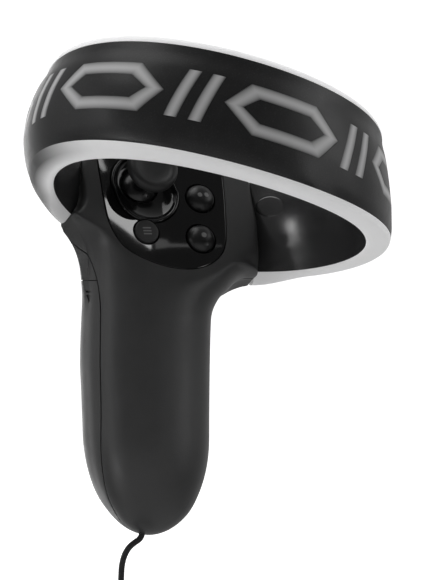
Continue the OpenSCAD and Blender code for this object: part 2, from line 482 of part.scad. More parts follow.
// a wire swept along a list of points, with six sides
function unit(v) = v / norm(v);
function tube_rows(P, r, sides) = let (n = len(P))
  [for (i = [0:n - 1]) let (T = unit(P[min(i + 1, n - 1)] - P[max(i - 1, 0)]),
      ref = abs(T[1]) < 0.9 ? [0, 1, 0] : [1, 0, 0], A = unit(cross(ref, T)), B = cross(T, A))
    for (k = [0:sides - 1]) P[i] + r * (cos(360 * k / sides) * A + sin(360 * k / sides) * B)];
module tube(P, r, sides) {
  n = len(P);
  polyhedron(tube_rows(P, r, sides), concat(
    [for (j = [0:n - 2]) for (i = [0:sides - 1]) let (m = (i + 1) % sides) [j * sides + i, (j + 1) * sides + m, j * sides + m]],
    [for (j = [0:n - 2]) for (i = [0:sides - 1]) let (m = (i + 1) % sides) [j * sides + i, (j + 1) * sides + i, (j + 1) * sides + m]],
    [[for (i = [0:sides - 1]) i]], [[for (i = [sides - 1:-1:0]) (n - 1) * sides + i]]));
}
module trigger_spring() {
  color([0.7, 0.7, 0.72]) tube([for (i = [0:30]) [9.15 + 2.2 * i / 30, trig_y + 2.15 * sin(36 * i), trig_z + 2.15 * cos(36 * i)]], 0.27, 6);
}
module bumper() { color([0.13, 0.13, 0.135]) translate([0, 0, 55.5]) bumper_arc(46.6, 52.7, 0); }
module bumper_switch() { color([0.3, 0.3, 0.32]) translate([0.6, 5.3, 53]) cube([5.6, 1.3, 2.8]); }
module grip_button() {
  color([0.13, 0.13, 0.135]) grip_capsule(3.8, 12.4, 18);
}
module grip_switch() {
  color([0.3, 0.3, 0.32]) {
    translate([-2.2, 9, 15.5]) cube([5, 1.5, 5]);
    translate([0.3, 11, 18]) rotate([90, 0, 0]) cylinder(r = 1.2, h = 0.5, $fn = 24);
  }
}

// ---- battery bay
module battery_cells() {
  color([0.75, 0.76, 0.78]) {
    translate([-7.4, 1.4, -14.9]) cylinder(r = cell_r, h = 49.2, $fn = 64);
    translate([-7.4, 1.4, 34.3]) cylinder(r = 2.7, h = 1.2, $fn = 32);
    translate([7.4, 1.4, -15.7]) cylinder(r = cell_r, h = 49.2, $fn = 64);
    translate([7.4, 1.4, -16.9]) cylinder(r = 2.7, h = 1.2, $fn = 32);
  }
}
module cone_coil(x, z0, z1) {
  tube([for (i = [0:24]) let (u = i / 24, r = 4.6 - 2 * u) [x + r * cos(45 * i), 1.4 + r * sin(45 * i), z0 + (z1 - z0) * u]], 0.3, 6);
}
module battery_contacts() {
  color([0.78, 0.78, 0.75]) {
    translate([-12.4, -3.4, -17.6]) cube([24.8, 9.4, 0.4]);
    translate([-12.4, -3.4, 35.6]) cube([10, 9.4, 0.4]);
    translate([2.4, -3.4, 35.6]) cube([10, 9.4, 0.4]);
    cone_coil(-7.4, -16.85, -15.3);
    cone_coil(7.4, 35.25, 33.9);
  }
}
module battery_tray() {
  color([0.16, 0.16, 0.17]) difference() {
    translate([0, 0, -18.8]) linear_extrude(55.7)
      polygon([[-14.4, 0.6], [-14.4, -4], [-11, -8.4], [11, -8.4], [14.4, -4], [14.4, 0.6]]);
    for (x = [-7.4, 7.4]) translate([x, 1.4, -17.7]) cylinder(r = 7.35, h = 53.7, $fn = 64);
    translate([-13, -3.5, -17.7]) cube([26, 8, 0.6]);
    translate([-13, -3.5, 35.5]) cube([26, 8, 0.6]);
  }
}
module vibration_motor() {
  color([0.7, 0.7, 0.72]) translate([0.6, -1.5, -27.5]) cylinder(r = 5, h = 3.4, $fn = 48);
}

// ---- wrist strap: out of the foot of the grip, down through the toggle and into a tied hank
strap_route = [[-2.4, -2.6, -36.6], [-2.4, -2.6, -38.4], [-2.5, -2.6, -39.6], [-3.4, -2.8, -40.7], [-5, -3.1, -41.6], [-6.8, -3.4, -42.9], [-8.3, -3.7, -45], [-9.2, -3.9, -47.8], [-9.5, -4, -51], [-9.6, -4, -55.6], [-9.6, -4, -61], [-9.6, -4, -66.4]];
strap_tail = [[1.2, -8.5, -66.4], [1.2, -8.5, -62], [1.2, -8.5, -58.9]];
hank_x = -4.2;
hank_z = [-93.4, -69.4];
module strap_bar() { color([0.7, 0.7, 0.72]) translate([-6.7, -2.6, -35.6]) rotate([0, 90, 0]) cylinder(r = 0.9, h = 15.2, $fn = 32); }
module strap_cord() { color([0.08, 0.08, 0.08]) { tube(strap_route, cord_d / 2, 8); tube(strap_tail, cord_d / 2, 8); } }
module strap_toggle() {
  color([0.12, 0.12, 0.12]) difference() {
    translate([-11.7, -6.2, -58.9]) rotate([0, 90, 0]) cylinder(r = 3.6, h = 15, $fn = 48);
    translate([-9.6, -4, -68]) cylinder(r = 1, h = 20, $fn = 24);
    translate([1.2, -8.5, -68]) cylinder(r = 1, h = 9.2, $fn = 24);
  }
}
module stadium(r) {
  hull() for (z = hank_z) translate([hank_x, z]) circle(r = r, $fn = 32);
}
module strap_hank() {
  color([0.08, 0.08, 0.08]) translate([0, -3, 0]) rotate([90, 0, 0]) linear_extrude(6.6) difference() { stadium(6.35); stadium(4.4); }
}
module strap_tie() {
  color([0.14, 0.14, 0.14]) translate([hank_x - 7.4, -10.7, -83.4]) difference() {
    cube([14.8, 8.7, 4]);
    translate([0.85, 0.8, -1]) cube([13.1, 7.1, 6]);
  }
}

front_shell();
rear_shell();
battery_cover();
face_panel();
stick_dish();
stick_cap();
stick_boot();
stick_shaft();
stick_pivot();
stick_yoke();
stick_base();
button_lower();
button_upper();
menu_button();
button_membrane();
main_board();
board_screws();
ring_outer_band();
ring_inlays();
ring_lower_rim();
ring_top_rim();
ring_inner_wall();
ring_light_strip();
ring_screw_caps();
ring_screws();
trigger();
trigger_pin();
trigger_spring();
trigger_magnet();
bumper();
bumper_switch();
grip_button();
grip_switch();
battery_cells();
battery_contacts();
battery_tray();
vibration_motor();
strap_bar();
strap_cord();
strap_toggle();
strap_hank();
strap_tie();
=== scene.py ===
import json
import math

import bmesh
import bpy
import numpy as np
from mathutils import Matrix, Vector


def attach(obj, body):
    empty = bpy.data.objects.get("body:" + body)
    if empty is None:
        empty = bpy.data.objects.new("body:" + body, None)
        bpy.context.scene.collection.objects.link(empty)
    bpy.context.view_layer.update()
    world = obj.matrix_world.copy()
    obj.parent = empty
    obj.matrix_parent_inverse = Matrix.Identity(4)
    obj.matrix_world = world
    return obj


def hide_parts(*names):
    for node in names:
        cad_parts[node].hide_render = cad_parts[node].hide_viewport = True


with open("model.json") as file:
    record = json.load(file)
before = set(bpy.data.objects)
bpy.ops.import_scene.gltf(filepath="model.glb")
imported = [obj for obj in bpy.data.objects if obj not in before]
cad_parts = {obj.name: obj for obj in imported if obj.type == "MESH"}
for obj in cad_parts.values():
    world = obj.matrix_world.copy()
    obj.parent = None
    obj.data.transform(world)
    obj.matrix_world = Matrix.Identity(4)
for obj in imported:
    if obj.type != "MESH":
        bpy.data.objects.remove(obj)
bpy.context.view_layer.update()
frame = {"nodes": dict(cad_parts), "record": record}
scene = bpy.context.scene
MM = 0.001

# ------------------------------------------------------------------ camera
VIEW_D = np.array([0.40674, 0.91355, 0.0])
TARGET = np.array([17.9, -8.0, 32.5])
cam_data = bpy.data.cameras.new("camera")
cam_data.sensor_fit = "VERTICAL"
cam_data.sensor_height = 36.0
cam_data.lens = 157.8
cam_data.clip_start = 0.01
cam_data.clip_end = 50
cam = bpy.data.objects.new("camera", cam_data)
scene.collection.objects.link(cam)
cam.location = Vector((TARGET - 750.0 * VIEW_D) * MM)
cam.rotation_euler = Vector(VIEW_D).to_track_quat("-Z", "Y").to_euler()
scene.camera = cam


# ------------------------------------------------------------------ small tools
def pchip(tab):
    """A smooth curve through a table that never overshoots its points."""
    xs = np.array([p[0] for p in tab], float)
    ys = np.array([p[1] for p in tab], float)
    h = np.diff(xs)
    dl = np.diff(ys) / h
    m = np.zeros(len(xs))
    for i in range(1, len(xs) - 1):
        if dl[i - 1] * dl[i] > 0:
            w1 = 2 * h[i] + h[i - 1]
            w2 = h[i] + 2 * h[i - 1]
            m[i] = (w1 + w2) / (w1 / dl[i - 1] + w2 / dl[i])
    m[0], m[-1] = dl[0], dl[-1]

    def f(x):
        x = np.clip(np.asarray(x, float), xs[0], xs[-1])
        i = np.clip(np.searchsorted(xs, x, side="right") - 1, 0, len(h) - 1)
        t = (x - xs[i]) / h[i]
        t2, t3 = t * t, t * t * t
        return (
            (2 * t3 - 3 * t2 + 1) * ys[i]
            + (t3 - 2 * t2 + t) * h[i] * m[i]
            + (-2 * t3 + 3 * t2) * ys[i + 1]
            + (t3 - t2) * h[i] * m[i + 1]
        )

    return f


def spline(points, per=8, closed=False):
    """Catmull-Rom through points, with the given count of steps a span."""
    P = [np.array(p, float) for p in points]
    n = len(P)
    out = []
    spans = n if closed else n - 1
    for i in range(spans):
        if closed:
            p0, p1, p2, p3 = P[(i - 1) % n], P[i], P[(i + 1) % n], P[(i + 2) % n]
        else:
            p1, p2 = P[i], P[i + 1]
            p0 = P[i - 1] if i > 0 else 2 * p1 - p2
            p3 = P[i + 2] if i + 2 < n else 2 * p2 - p1
        d1 = max(np.linalg.norm(p1 - p0), 1e-9) ** 0.5
        d2 = max(np.linalg.norm(p2 - p1), 1e-9) ** 0.5
        d3 = max(np.linalg.norm(p3 - p2), 1e-9) ** 0.5
        m1 = (p2 - p1) + d2 * ((p1 - p0) / d1 - (p2 - p0) / (d1 + d2))
        m2 = (p2 - p1) + d2 * ((p3 - p2) / d3 - (p3 - p1) / (d2 + d3))
        for k in range(per):
            t = k / per
            t2, t3 = t * t, t * t * t
            out.append(
                (2 * t3 - 3 * t2 + 1) * p1
                + (t3 - 2 * t2 + t) * m1
                + (-2 * t3 + 3 * t2) * p2
                + (t3 - t2) * m2
            )
    if not closed:
        out.append(P[-1])
    return out


def finish_mesh(me, angle=32):
    for p in me.polygons:
        p.use_smooth = True
    me.set_sharp_from_angle(angle=math.radians(angle))
    me.update()


def make(name, verts, faces, mat=None, angle=32, weld=2e-7):
    """A mesh object from millimetre points, welded and with its faces turned outward."""
    me = bpy.data.meshes.new(name)
    me.from_pydata((np.asarray(verts, float) * MM).tolist(), [], faces)
    bm = bmesh.new()
    bm.from_mesh(me)
    bmesh.ops.remove_doubles(bm, verts=bm.verts, dist=weld)
    bmesh.ops.recalc_face_normals(bm, faces=bm.faces)
    bm.to_mesh(me)
    bm.free()
    finish_mesh(me, angle)
    ob = bpy.data.objects.new(name, me)
    scene.collection.objects.link(ob)
    if mat is not None:
        me.materials.append(mat)
    return ob


def cut(ob, cutter, op="DIFFERENCE", angle=32, keep=False):
    mod = ob.modifiers.new("cut", "BOOLEAN")
    mod.object = cutter
    mod.operation = op
    mod.solver = "MANIFOLD"
    bpy.context.view_layer.update()
    dg = bpy.context.evaluated_depsgraph_get()
    me = bpy.data.meshes.new_from_object(ob.evaluated_get(dg))
    if len(me.polygons) < 8 or (op == "DIFFERENCE" and len(me.polygons) == len(ob.data.polygons)):
        bpy.data.meshes.remove(me)
        mod.solver = "EXACT"
        bpy.context.view_layer.update()
        dg = bpy.context.evaluated_depsgraph_get()
        me = bpy.data.meshes.new_from_object(ob.evaluated_get(dg))
    ob.modifiers.clear()
    old = ob.data
    ob.data = me
    bpy.data.meshes.remove(old)
    me.name = ob.name
    bm = bmesh.new()
    bm.from_mesh(me)
    bmesh.ops.remove_doubles(bm, verts=bm.verts, dist=1e-6)
    bmesh.ops.dissolve_degenerate(bm, edges=bm.edges, dist=1e-6)
    bm.to_mesh(me)
    bm.free()
    finish_mesh(me, angle)
    if not keep:
        drop(cutter)
    return ob


def drop(ob):
    me = ob.data
    bpy.data.objects.remove(ob)
    if isinstance(me, bpy.types.Mesh) and me.users == 0:
        bpy.data.meshes.remove(me)


def join_meshes(name, obs, mat=None, angle=32):
    bm = bmesh.new()
    for o in obs:
        bm.from_mesh(o.data)
    me = bpy.data.meshes.new(name)
    bm.to_mesh(me)
    bm.free()
    finish_mesh(me, angle)
    ob = bpy.data.objects.new(name, me)
    scene.collection.objects.link(ob)
    for o in obs:
        drop(o)
    if mat is not None:
        me.materials.clear()
        me.materials.append(mat)
    return ob


def grid_faces(nr, nc, base=0, flip=False, wrap=False):
    out = []
    cols = nc if wrap else nc - 1
    for j in range(nr - 1):
        for i in range(cols):
            k = (i + 1) % nc
            q = (base + j * nc + i, base + j * nc + k, base + (j + 1) * nc + k, base + (j + 1) * nc + i)
            out.append(q[::-1] if flip else q)
    return out


# ------------------------------------------------------------------ materials
def material(name):
    m = bpy.data.materials.new(name)
    m.use_nodes = True
    nt = m.node_tree
    b = nt.nodes["Principled BSDF"]
    return m, nt, b


def ramp(nt, src, stops, interp="LINEAR"):
    r = nt.nodes.new("ShaderNodeValToRGB")
    r.color_ramp.interpolation = interp
    while len(r.color_ramp.elements) < len(stops):
        r.color_ramp.elements.new(0.5)
    for e, (p, c) in zip(r.color_ramp.elements, stops):
        e.position = p
        e.color = c if len(c) == 4 else (*c, 1)
    nt.links.new(src, r.inputs["Fac"])
    return r


def noise(nt, scale, detail=3, rough=0.55, coord="Object", dist=0.0):
    tc = nt.nodes.new("ShaderNodeTexCoord")
    n = nt.nodes.new("ShaderNodeTexNoise")
    n.inputs["Scale"].default_value = scale
    n.inputs["Detail"].default_value = detail
    n.inputs["Roughness"].default_value = rough
    n.inputs["Distortion"].default_value = dist
    nt.links.new(tc.outputs[coord], n.inputs["Vector"])
    return n


def plastic(name, dark, light, rough, grain=0.0, grain_scale=4000, coat=0.0, coat_rough=0.1, ior=1.47, sheen=0.0, spread=0.06, blotch=180, speck=None, glow=0.0):
    """Moulded plastic: a little colour and gloss variation, and a fine moulded grain."""
    m, nt, b = material(name)
    big = noise(nt, blotch, 4, 0.6)
    fine = noise(nt, grain_scale, 2, 0.6)
    cr = ramp(nt, big.outputs["Fac"], [(0.3, dark), (0.7, light)])
    col = cr.outputs["Color"]
    if speck:
        sp = noise(nt, speck[0], 1, 0.5)
        sr = ramp(nt, sp.outputs["Fac"], [(speck[1], (0, 0, 0)), (speck[2], (1, 1, 1))])
        mx = nt.nodes.new("ShaderNodeMix")
        mx.data_type = "RGBA"
        mx.blend_type = "MIX"
        nt.links.new(sr.outputs["Color"], mx.inputs["Factor"])
        nt.links.new(col, mx.inputs["A"])
        mx.inputs["B"].default_value = (*speck[3], 1)
        col = mx.outputs["Result"]
    nt.links.new(col, b.inputs["Base Color"])
    rr = ramp(nt, big.outputs["Fac"], [(0.25, (rough - spread,) * 3), (0.75, (rough + spread,) * 3)])
    nt.links.new(rr.outputs["Color"], b.inputs["Roughness"])
    b.inputs["IOR"].default_value = ior
    b.inputs["Coat Weight"].default_value = coat
    b.inputs["Coat Roughness"].default_value = coat_rough
    b.inputs["Sheen Weight"].default_value = sheen
    b.inputs["Sheen Roughness"].default_value = 0.5
    b.inputs["Emission Color"].default_value = (1, 1, 1, 1)
    b.inputs["Emission Strength"].default_value = glow
    if grain > 0:
        bp = nt.nodes.new("ShaderNodeBump")
        bp.inputs["Strength"].default_value = grain
        bp.inputs["Distance"].default_value = 0.0001
        nt.links.new(fine.outputs["Fac"], bp.inputs["Height"])
        nt.links.new(bp.outputs["Normal"], b.inputs["Normal"])
    return m


def painted_light_plastic(name, core, edge, rough, glow, attr, ior=1.47):
    """Pale plastic with painted light: a painted glow (emission) and its own colour where the mesh's own attribute is
    0, painted shade (a dark colour) and no glow where it is 1.
    """
    m = plastic(name, [c * 0.97 for c in core], [c * 1.03 for c in core], rough, grain=0.08, grain_scale=1500, ior=ior)
    nt = m.node_tree
    b = nt.nodes["Principled BSDF"]
    a = nt.nodes.new("ShaderNodeAttribute")
    a.attribute_name = attr
    mx = nt.nodes.new("ShaderNodeMix")
    mx.data_type = "RGBA"
    nt.links.new(a.outputs["Fac"], mx.inputs["Factor"])
    nt.links.new(b.inputs["Base Color"].links[0].from_socket, mx.inputs["A"])
    mx.inputs["B"].default_value = (*edge, 1)
    nt.links.new(mx.outputs["Result"], b.inputs["Base Color"])
    ma = nt.nodes.new("ShaderNodeMath")
    ma.operation = "MULTIPLY_ADD"
    nt.links.new(a.outputs["Fac"], ma.inputs[0])
    ma.inputs[1].default_value = -glow
    ma.inputs[2].default_value = glow
    nt.links.new(ma.outputs["Value"], b.inputs["Emission Strength"])
    return m


def paint(ob, name, values):
    """Keeps one number a vertex on the mesh, for its material."""
    at_ = ob.data.attributes.new(name, "FLOAT", "POINT")
    at_.data.foreach_set("value", np.asarray(values, np.float32))


def metal(name, base, rough, grain_scale=900):
    m, nt, b = material(name)
    b.inputs["Metallic"].default_value = 1.0
    n = noise(nt, grain_scale, 4, 0.6)
    cr = ramp(nt, n.outputs["Fac"], [(0.3, [c * 0.86 for c in base]), (0.7, base)])
    nt.links.new(cr.outputs["Color"], b.inputs["Base Color"])
    rr = ramp(nt, n.outputs["Fac"], [(0.3, (rough * 0.8,) * 3), (0.7, (rough * 1.25,) * 3)])
    nt.links.new(rr.outputs["Color"], b.inputs["Roughness"])
    return m


M_SHELL = plastic("shell_soft_touch", (0.037, 0.037, 0.0375), (0.042, 0.042, 0.0425), 0.43, grain=0.25, grain_scale=2600, sheen=0.0)
M_COVER = plastic("cover_soft_touch", (0.037, 0.037, 0.0375), (0.042, 0.042, 0.0425), 0.43, grain=0.25, grain_scale=2600, sheen=0.0)
M_BAND = plastic("ring_band_satin", (0.0165, 0.0165, 0.017), (0.0195, 0.0195, 0.02), 0.35, grain=0.3, grain_scale=2200, ior=1.38, speck=(3200, 0.6, 0.72, (0.032, 0.032, 0.033)))
# Lower rim: a painted glow (emission 0.17) that brightens it though it is no lamp, and painted shade where its 'shade'
# attribute is high.
M_LIGHT = painted_light_plastic("light_guide", (0.82, 0.82, 0.825), (0.045, 0.045, 0.046), 0.45, 0.17, "shade", 1.25)
# Top rim: a painted glow (emission 0.3) that makes it near white though it is no lamp.
M_TOP = plastic("light_guide_top", (0.84, 0.84, 0.845), (0.88, 0.88, 0.885), 0.42, grain=0.08, grain_scale=1500, glow=0.3)
# Inlay lines: painted shade, darker towards the edges of each line by their 'edge' attribute; no glow.
M_INLAY = painted_light_plastic("light_window", (0.56, 0.56, 0.563), (0.13, 0.13, 0.131), 0.4, 0.0, "edge")
M_LINER = plastic("liner_black", (0.024, 0.024, 0.0245), (0.028, 0.028, 0.0285), 0.21, grain=0.03, grain_scale=2600, ior=2.0, spread=0.012)
M_PANEL = plastic("panel_gloss", (0.004, 0.004, 0.0042), (0.0055, 0.0055, 0.0058), 0.025, ior=1.52, spread=0.005)
M_DISH = plastic("dish_gloss", (0.004, 0.004, 0.0042), (0.0055, 0.0055, 0.0058), 0.08, ior=1.5, spread=0.015)
M_BOOT = plastic("boot_satin", (0.005, 0.005, 0.0052), (0.0065, 0.0065, 0.0068), 0.24, spread=0.03)
M_BUTTON = plastic("button_gloss", (0.008, 0.008, 0.0082), (0.0095, 0.0095, 0.0098), 0.36, spread=0.03)
M_MARK = plastic("button_mark", (0.16, 0.16, 0.16), (0.19, 0.19, 0.19), 0.4)
M_MENU = plastic("menu_matte", (0.024, 0.024, 0.0245), (0.028, 0.028, 0.0285), 0.5, grain=0.25)
M_RUBBER = plastic("stick_rubber", (0.009, 0.009, 0.0092), (0.0115, 0.0115, 0.0117), 0.52, grain=0.35, grain_scale=1800)
M_TRIG = plastic("trigger_black", (0.011, 0.011, 0.0115), (0.0135, 0.0135, 0.014), 0.36, grain=0.12)
M_LIP = plastic("lip_dark", (0.006, 0.006, 0.0062), (0.008, 0.008, 0.0082), 0.7, grain=0.1)
M_INNER = plastic("inner_plastic", (0.03, 0.03, 0.032), (0.038, 0.038, 0.04), 0.55, grain=0.2)
M_SILI = plastic("silicone", (0.36, 0.38, 0.4), (0.42, 0.44, 0.46), 0.5, grain=0.1)
M_STEEL = metal("steel", (0.62, 0.62, 0.63), 0.28)
M_CELL = plastic("cell_jacket", (0.35, 0.36, 0.37), (0.42, 0.43, 0.44), 0.3, coat=0.3)


def board_material():
    m, nt, b = material("board_green")
    n = noise(nt, 260, 2)
    tc = nt.nodes.new("ShaderNodeTexCoord")
    br = nt.nodes.new("ShaderNodeTexBrick")
    br.inputs["Scale"].default_value = 240
    br.inputs["Mortar Size"].default_value = 0.03
    br.inputs["Color1"].default_value = (0.008, 0.06, 0.03, 1)
    br.inputs["Color2"].default_value = (0.01, 0.075, 0.036, 1)
    br.inputs["Mortar"].default_value = (0.03, 0.14, 0.07, 1)
    nt.links.new(tc.outputs["Object"], br.inputs["Vector"])
    nt.links.new(br.outputs["Color"], b.inputs["Base Color"])
    rr = ramp(nt, n.outputs["Fac"], [(0.3, (0.3,) * 3), (0.7, (0.42,) * 3)])
    nt.links.new(rr.outputs["Color"], b.inputs["Roughness"])
    return m


M_BOARD = board_material()


def cord_material():
    """Braided cord: a pattern of small raised cells, dark, with a dull sheen."""
    m, nt, b = material("strap_braid")
    tc = nt.nodes.new("ShaderNodeTexCoord")
    mp = nt.nodes.new("ShaderNodeMapping")
    mp.inputs["Rotation"].default_value = (0, 0, math.radians(45))
    nt.links.new(tc.outputs["UV"], mp.inputs["Vector"])
    w = nt.nodes.new("ShaderNodeTexVoronoi")
    w.inputs["Scale"].default_value = 2600
    nt.links.new(tc.outputs["Object"], w.inputs["Vector"])
    # painted shade: the cord is darker in the grooves between its raised cells
    cr = ramp(nt, w.outputs["Distance"], [(0.1, (0.016, 0.016, 0.017)), (0.6, (0.006, 0.006, 0.0065))])
    nt.links.new(cr.outputs["Color"], b.inputs["Base Color"])
    b.inputs["Roughness"].default_value = 0.7
    b.inputs["Sheen Weight"].default_value = 0.15
    bp = nt.nodes.new("ShaderNodeBump")
    bp.inputs["Strength"].default_value = 0.6
    bp.inputs["Distance"].default_value = 0.0002
    bp.invert = True
    nt.links.new(w.outputs["Distance"], bp.inputs["Height"])
    nt.links.new(bp.outputs["Normal"], b.inputs["Normal"])
    return m


M_CORD = cord_material()

# ------------------------------------------------------------------ wrist strap (comes first)
LEAD = [(-2.4, -2.6, -36.6), (-2.4, -2.6, -38.4), (-2.5, -2.6, -39.6), (-3.4, -2.8, -40.7), (-5, -3.1, -41.6),
        (-6.8, -3.4, -42.9), (-8.3, -3.7, -45), (-9.2, -3.9, -47.8), (-9.5, -4, -51), (-9.6, -4, -55.6)]
HANK_X, HANK_Z, HANK_R = -4.2, (-93.4, -69.4), 5.4
CORD_D = 1.8


def strap_route():
    """Out of the foot, down through the toggle, three turns of a hank, and back up into the toggle."""
    pts = spline(LEAD, 4)
    pts += [np.array(p) for p in [(-9.6, -4, -58.9), (-9.6, -4, -62.4), (-9.6, -4, -66.4)]]
    xl, xr = HANK_X - HANK_R, HANK_X + HANK_R
    for turn in range(3):
        yl, yr = -4.0 - 1.8 * turn, -4.9 - 1.8 * turn
        for k in range(6):
            pts.append(np.array((xl, yl, HANK_Z[1] + (HANK_Z[0] - HANK_Z[1]) * k / 6)))
        for k in range(11):
            a = math.pi + math.pi * k / 10
            pts.append(np.array((HANK_X + HANK_R * math.cos(a), yl + (yr - yl) * k / 10, HANK_Z[0] + HANK_R * math.sin(a))))
        for k in range(1, 6):
            pts.append(np.array((xr, yr, HANK_Z[0] + (HANK_Z[1] - HANK_Z[0]) * k / 6)))
        if turn < 2:
            for k in range(0, 10):
                a = math.pi * k / 10
                pts.append(np.array((HANK_X + HANK_R * math.cos(a), yr - 0.9 * k / 10, HANK_Z[1] + HANK_R * math.sin(a))))
        else:
            pts += [np.array((xr, yr, z)) for z in (HANK_Z[1], -66.4, -62.4, -58.9)]
    return pts


route = strap_route()


cu = bpy.data.curves.new("strap", "CURVE")
cu.dimensions = "3D"
sp = cu.splines.new("POLY")
sp.points.add(len(route) - 1)
for p, q in zip(sp.points, route):
    p.co = (*(np.array(q) * MM), 1)
cu.bevel_depth = CORD_D / 2 * MM
cu.bevel_resolution = 6
cu.use_fill_caps = True
strap = bpy.data.objects.new("strap", cu)
scene.collection.objects.link(strap)
cu.materials.append(M_CORD)

# ------------------------------------------------------------------ ring surface
RING_YC, RING_Q, RING_H, RING_Z0 = -38.7, 0.00148, 25.4, 56.3


def c01(t):
    return np.clip(t, 0, 1)


def ring_xc(t):
    c = c01(t)
    return 3.4 + 1.3 * c - 5.2 * c * (1 - c)


def ring_kx(t):
    return 0.281 + 0.008 * c01(t)


def ring_ky(t):
    return 0.185 + 0.067 * c01(t)


ring_r = pchip([(-0.4, 49.2), (-0.2, 49.2), (-0.12, 49.3), (-0.08, 49.9), (-0.03, 50.6), (0, 50.9), (0.12, 51.5), (0.3, 51.7), (0.5, 51.2), (0.75, 49.7), (1, 47.4), (1.2, 47.2)])


def ring_in(t):
    return 43.9 - 0.6 * c01(t)


def ring_z(t, X, Y):
    return RING_Z0 + RING_H * t - ring_kx(t) * X - ring_ky(t) * Y - RING_Q * Y * Y


def rp(phi, R, t, dz=0.0):
    a = np.radians(phi)
    X, Y = R * np.cos(a), R * np.sin(a)
    return np.stack(np.broadcast_arrays(ring_xc(t) + X, RING_YC + Y, ring_z(t, X, Y) + dz), axis=-1)


_pl = pchip([(-0.4, 132.3), (-0.12, 132), (-0.03, 129.5), (0.06, 127.2), (0.2, 125), (0.4, 124), (0.6, 124.4), (1, 126), (1.2, 126.8)])
_pr = pchip([(-0.4, 48.2), (-0.13, 48.2), (0.2, 47.6), (0.45, 47.6), (0.65, 48.8), (0.8, 50.2), (1, 52), (1.2, 53)])


def phi_l(t, R=43.9):
    """The ring's left end; its outer edge comes nearer to the head than its inner edge."""
    return _pl(t) - 5 * (np.asarray(R) - 43.9) / 6.4


def phi_r(t, R=43.9):
    return _pr(t) + 5 * (np.asarray(R) - 43.9) / 6.4


def smooth(a, b, x):
    u = np.clip((x - a) / (b - a), 0, 1)
    return u * u * (3 - 2 * u)


def sweep_ring(name, A, B, steps, mat, g=0.2, angle=32):
    """A closed band between the chains A (outside) and B (inside), from the ring's left end to its right.

    A point is radius, level, offset in height and, on the lower rim, its share in the deeper ends."""
    prof = np.array([tuple(p) + (0.0,) * (4 - len(p)) for p in list(A) + list(B)[::-1]], float)
    n, k = len(A), len(A) + len(B)
    f = np.linspace(0, 1, steps + 1)[:, None]
    te = prof[:, 1] + prof[:, 2] / RING_H
    a = phi_l(te, prof[:, 0])[None] + g
    b = phi_r(te, prof[:, 0])[None] + 360 - g
    low = prof[None, :, 3] * (1.1 - 1.1 * smooth(0, 0.07, f) + 2.1 * smooth(0.92, 1, f))
    pts = rp(a + (b - a) * f, prof[None, :, 0], prof[None, :, 1] + 0 * f, prof[None, :, 2] - low)
    verts = pts.reshape(-1, 3)
    faces = grid_faces(steps + 1, k, wrap=True)
    for base, flip in ((0, True), (steps * k, False)):
        for i in range(n - 1):
            q = (base + i, base + i + 1, base + k - 2 - i, base + k - 1 - i)
            faces.append(q[::-1] if flip else q)
    return make(name, verts, faces, mat, angle)


RS = 260
ts = np.linspace(0, 1, 31)
band_out = [(float(ring_r(0)) - 0.2, 0.0, 0.0)] + [(float(ring_r(t)), t, 0.0) for t in ts[1:-1]] + [(float(ring_r(1)) - 0.15, 1.0, 0.0)]
band_out[0] = (float(ring_r(0.0)) - 0.12, 0.0, 0.0)
band_out.insert(1, (float(ring_r(0.006)), 0.006, 0.0))
band_in = [(float(ring_r(t)) - 1.6, t, 0.0) for t in np.linspace(0, 1, len(band_out))]
ring_band = sweep_ring("ring_outer_band_skin", band_out, band_in, RS, M_BAND)

low_a = [tuple(p) for p in spline([(43.95, 0, -2.5, 0), (44.5, 0, -2.83, 0.1), (45.6, 0, -2.98, 0.5), (47, 0, -2.9, 1), (48.9, 0, -2.5, 1), (50.2, 0, -1.65, 0.75), (50.75, 0, -0.65, 0.25), (50.85, 0, -0.08, 0)], 3)]
lb = np.array(spline([(45.4, 0, -2.5), (45.8, 0, -2.1), (46.6, 0, -1.8), (47.6, 0, -1.4), (48.3, 0, -0.8), (48.5, 0, -0.08)], 8))
low_b = lb[np.linspace(0, len(lb) - 1, len(low_a)).round().astype(int)]
ring_low = sweep_ring("ring_lower_rim_skin", low_a, low_b, RS, M_LIGHT)


def rim_shade(ob):
    """Painted shade for the lower rim's light guide: darker towards its outer edge where the ring turns back to the
    head on the left, and a little darker across its whole width at the left end.
    """
    co = np.array([v.co for v in ob.data.vertices]) / MM - np.array([ring_xc(0.0), RING_YC, 0])
    phi = np.degrees(np.arctan2(co[:, 1], co[:, 0])) % 360
    R = np.hypot(co[:, 0], co[:, 1])
    inner = 48.6 - 3.2 * smooth(132, 152, phi)
    u = np.clip((R - inner) / (49.4 - inner), 0, 1)
    left = smooth(100, 128, phi) * (1 - smooth(172, 212, phi))
    end = 0.36 * smooth(85, 100, phi) * (1 - smooth(140, 166, phi))
    return 1 - (1 - u * left) * (1 - end)


# painted shade on the lower rim, kept as its 'shade' attribute for its material
paint(ring_low, "shade", rim_shade(ring_low))

top_a = spline([(47.35, 1, 0.08), (47.25, 1, 0.7), (46.8, 1, 1.4), (46.1, 1, 1.85), (45.2, 1, 2.0), (44.3, 1, 1.88), (43.7, 1, 1.5), (43.5, 1, 1.1)], 3)
tb = np.array(spline([(45.9, 1, 0.08), (45.7, 1, 0.3), (45.4, 1, 0.5), (45.1, 1, 0.7), (44.9, 1, 0.9), (44.7, 1, 1.1)], 8))
top_b = tb[np.linspace(0, len(tb) - 1, len(top_a)).round().astype(int)]
ring_top = sweep_ring("ring_top_rim_skin", top_a, top_b, RS, M_TOP)

wall_t = np.linspace(0, 1, 15)
wall_dz = np.where(wall_t == 0, -2.42, np.where(wall_t == 1, 1.0, 0.0))
wall_a = [(float(ring_in(t)) + 1.4, t, dz) for t, dz in zip(wall_t, wall_dz)]
wall_b = [(float(ring_in(t)), t, dz) for t, dz in zip(wall_t, wall_dz)]
ring_wall = sweep_ring("ring_inner_wall_skin", wall_a, wall_b, RS, M_LINER, g=0.06)

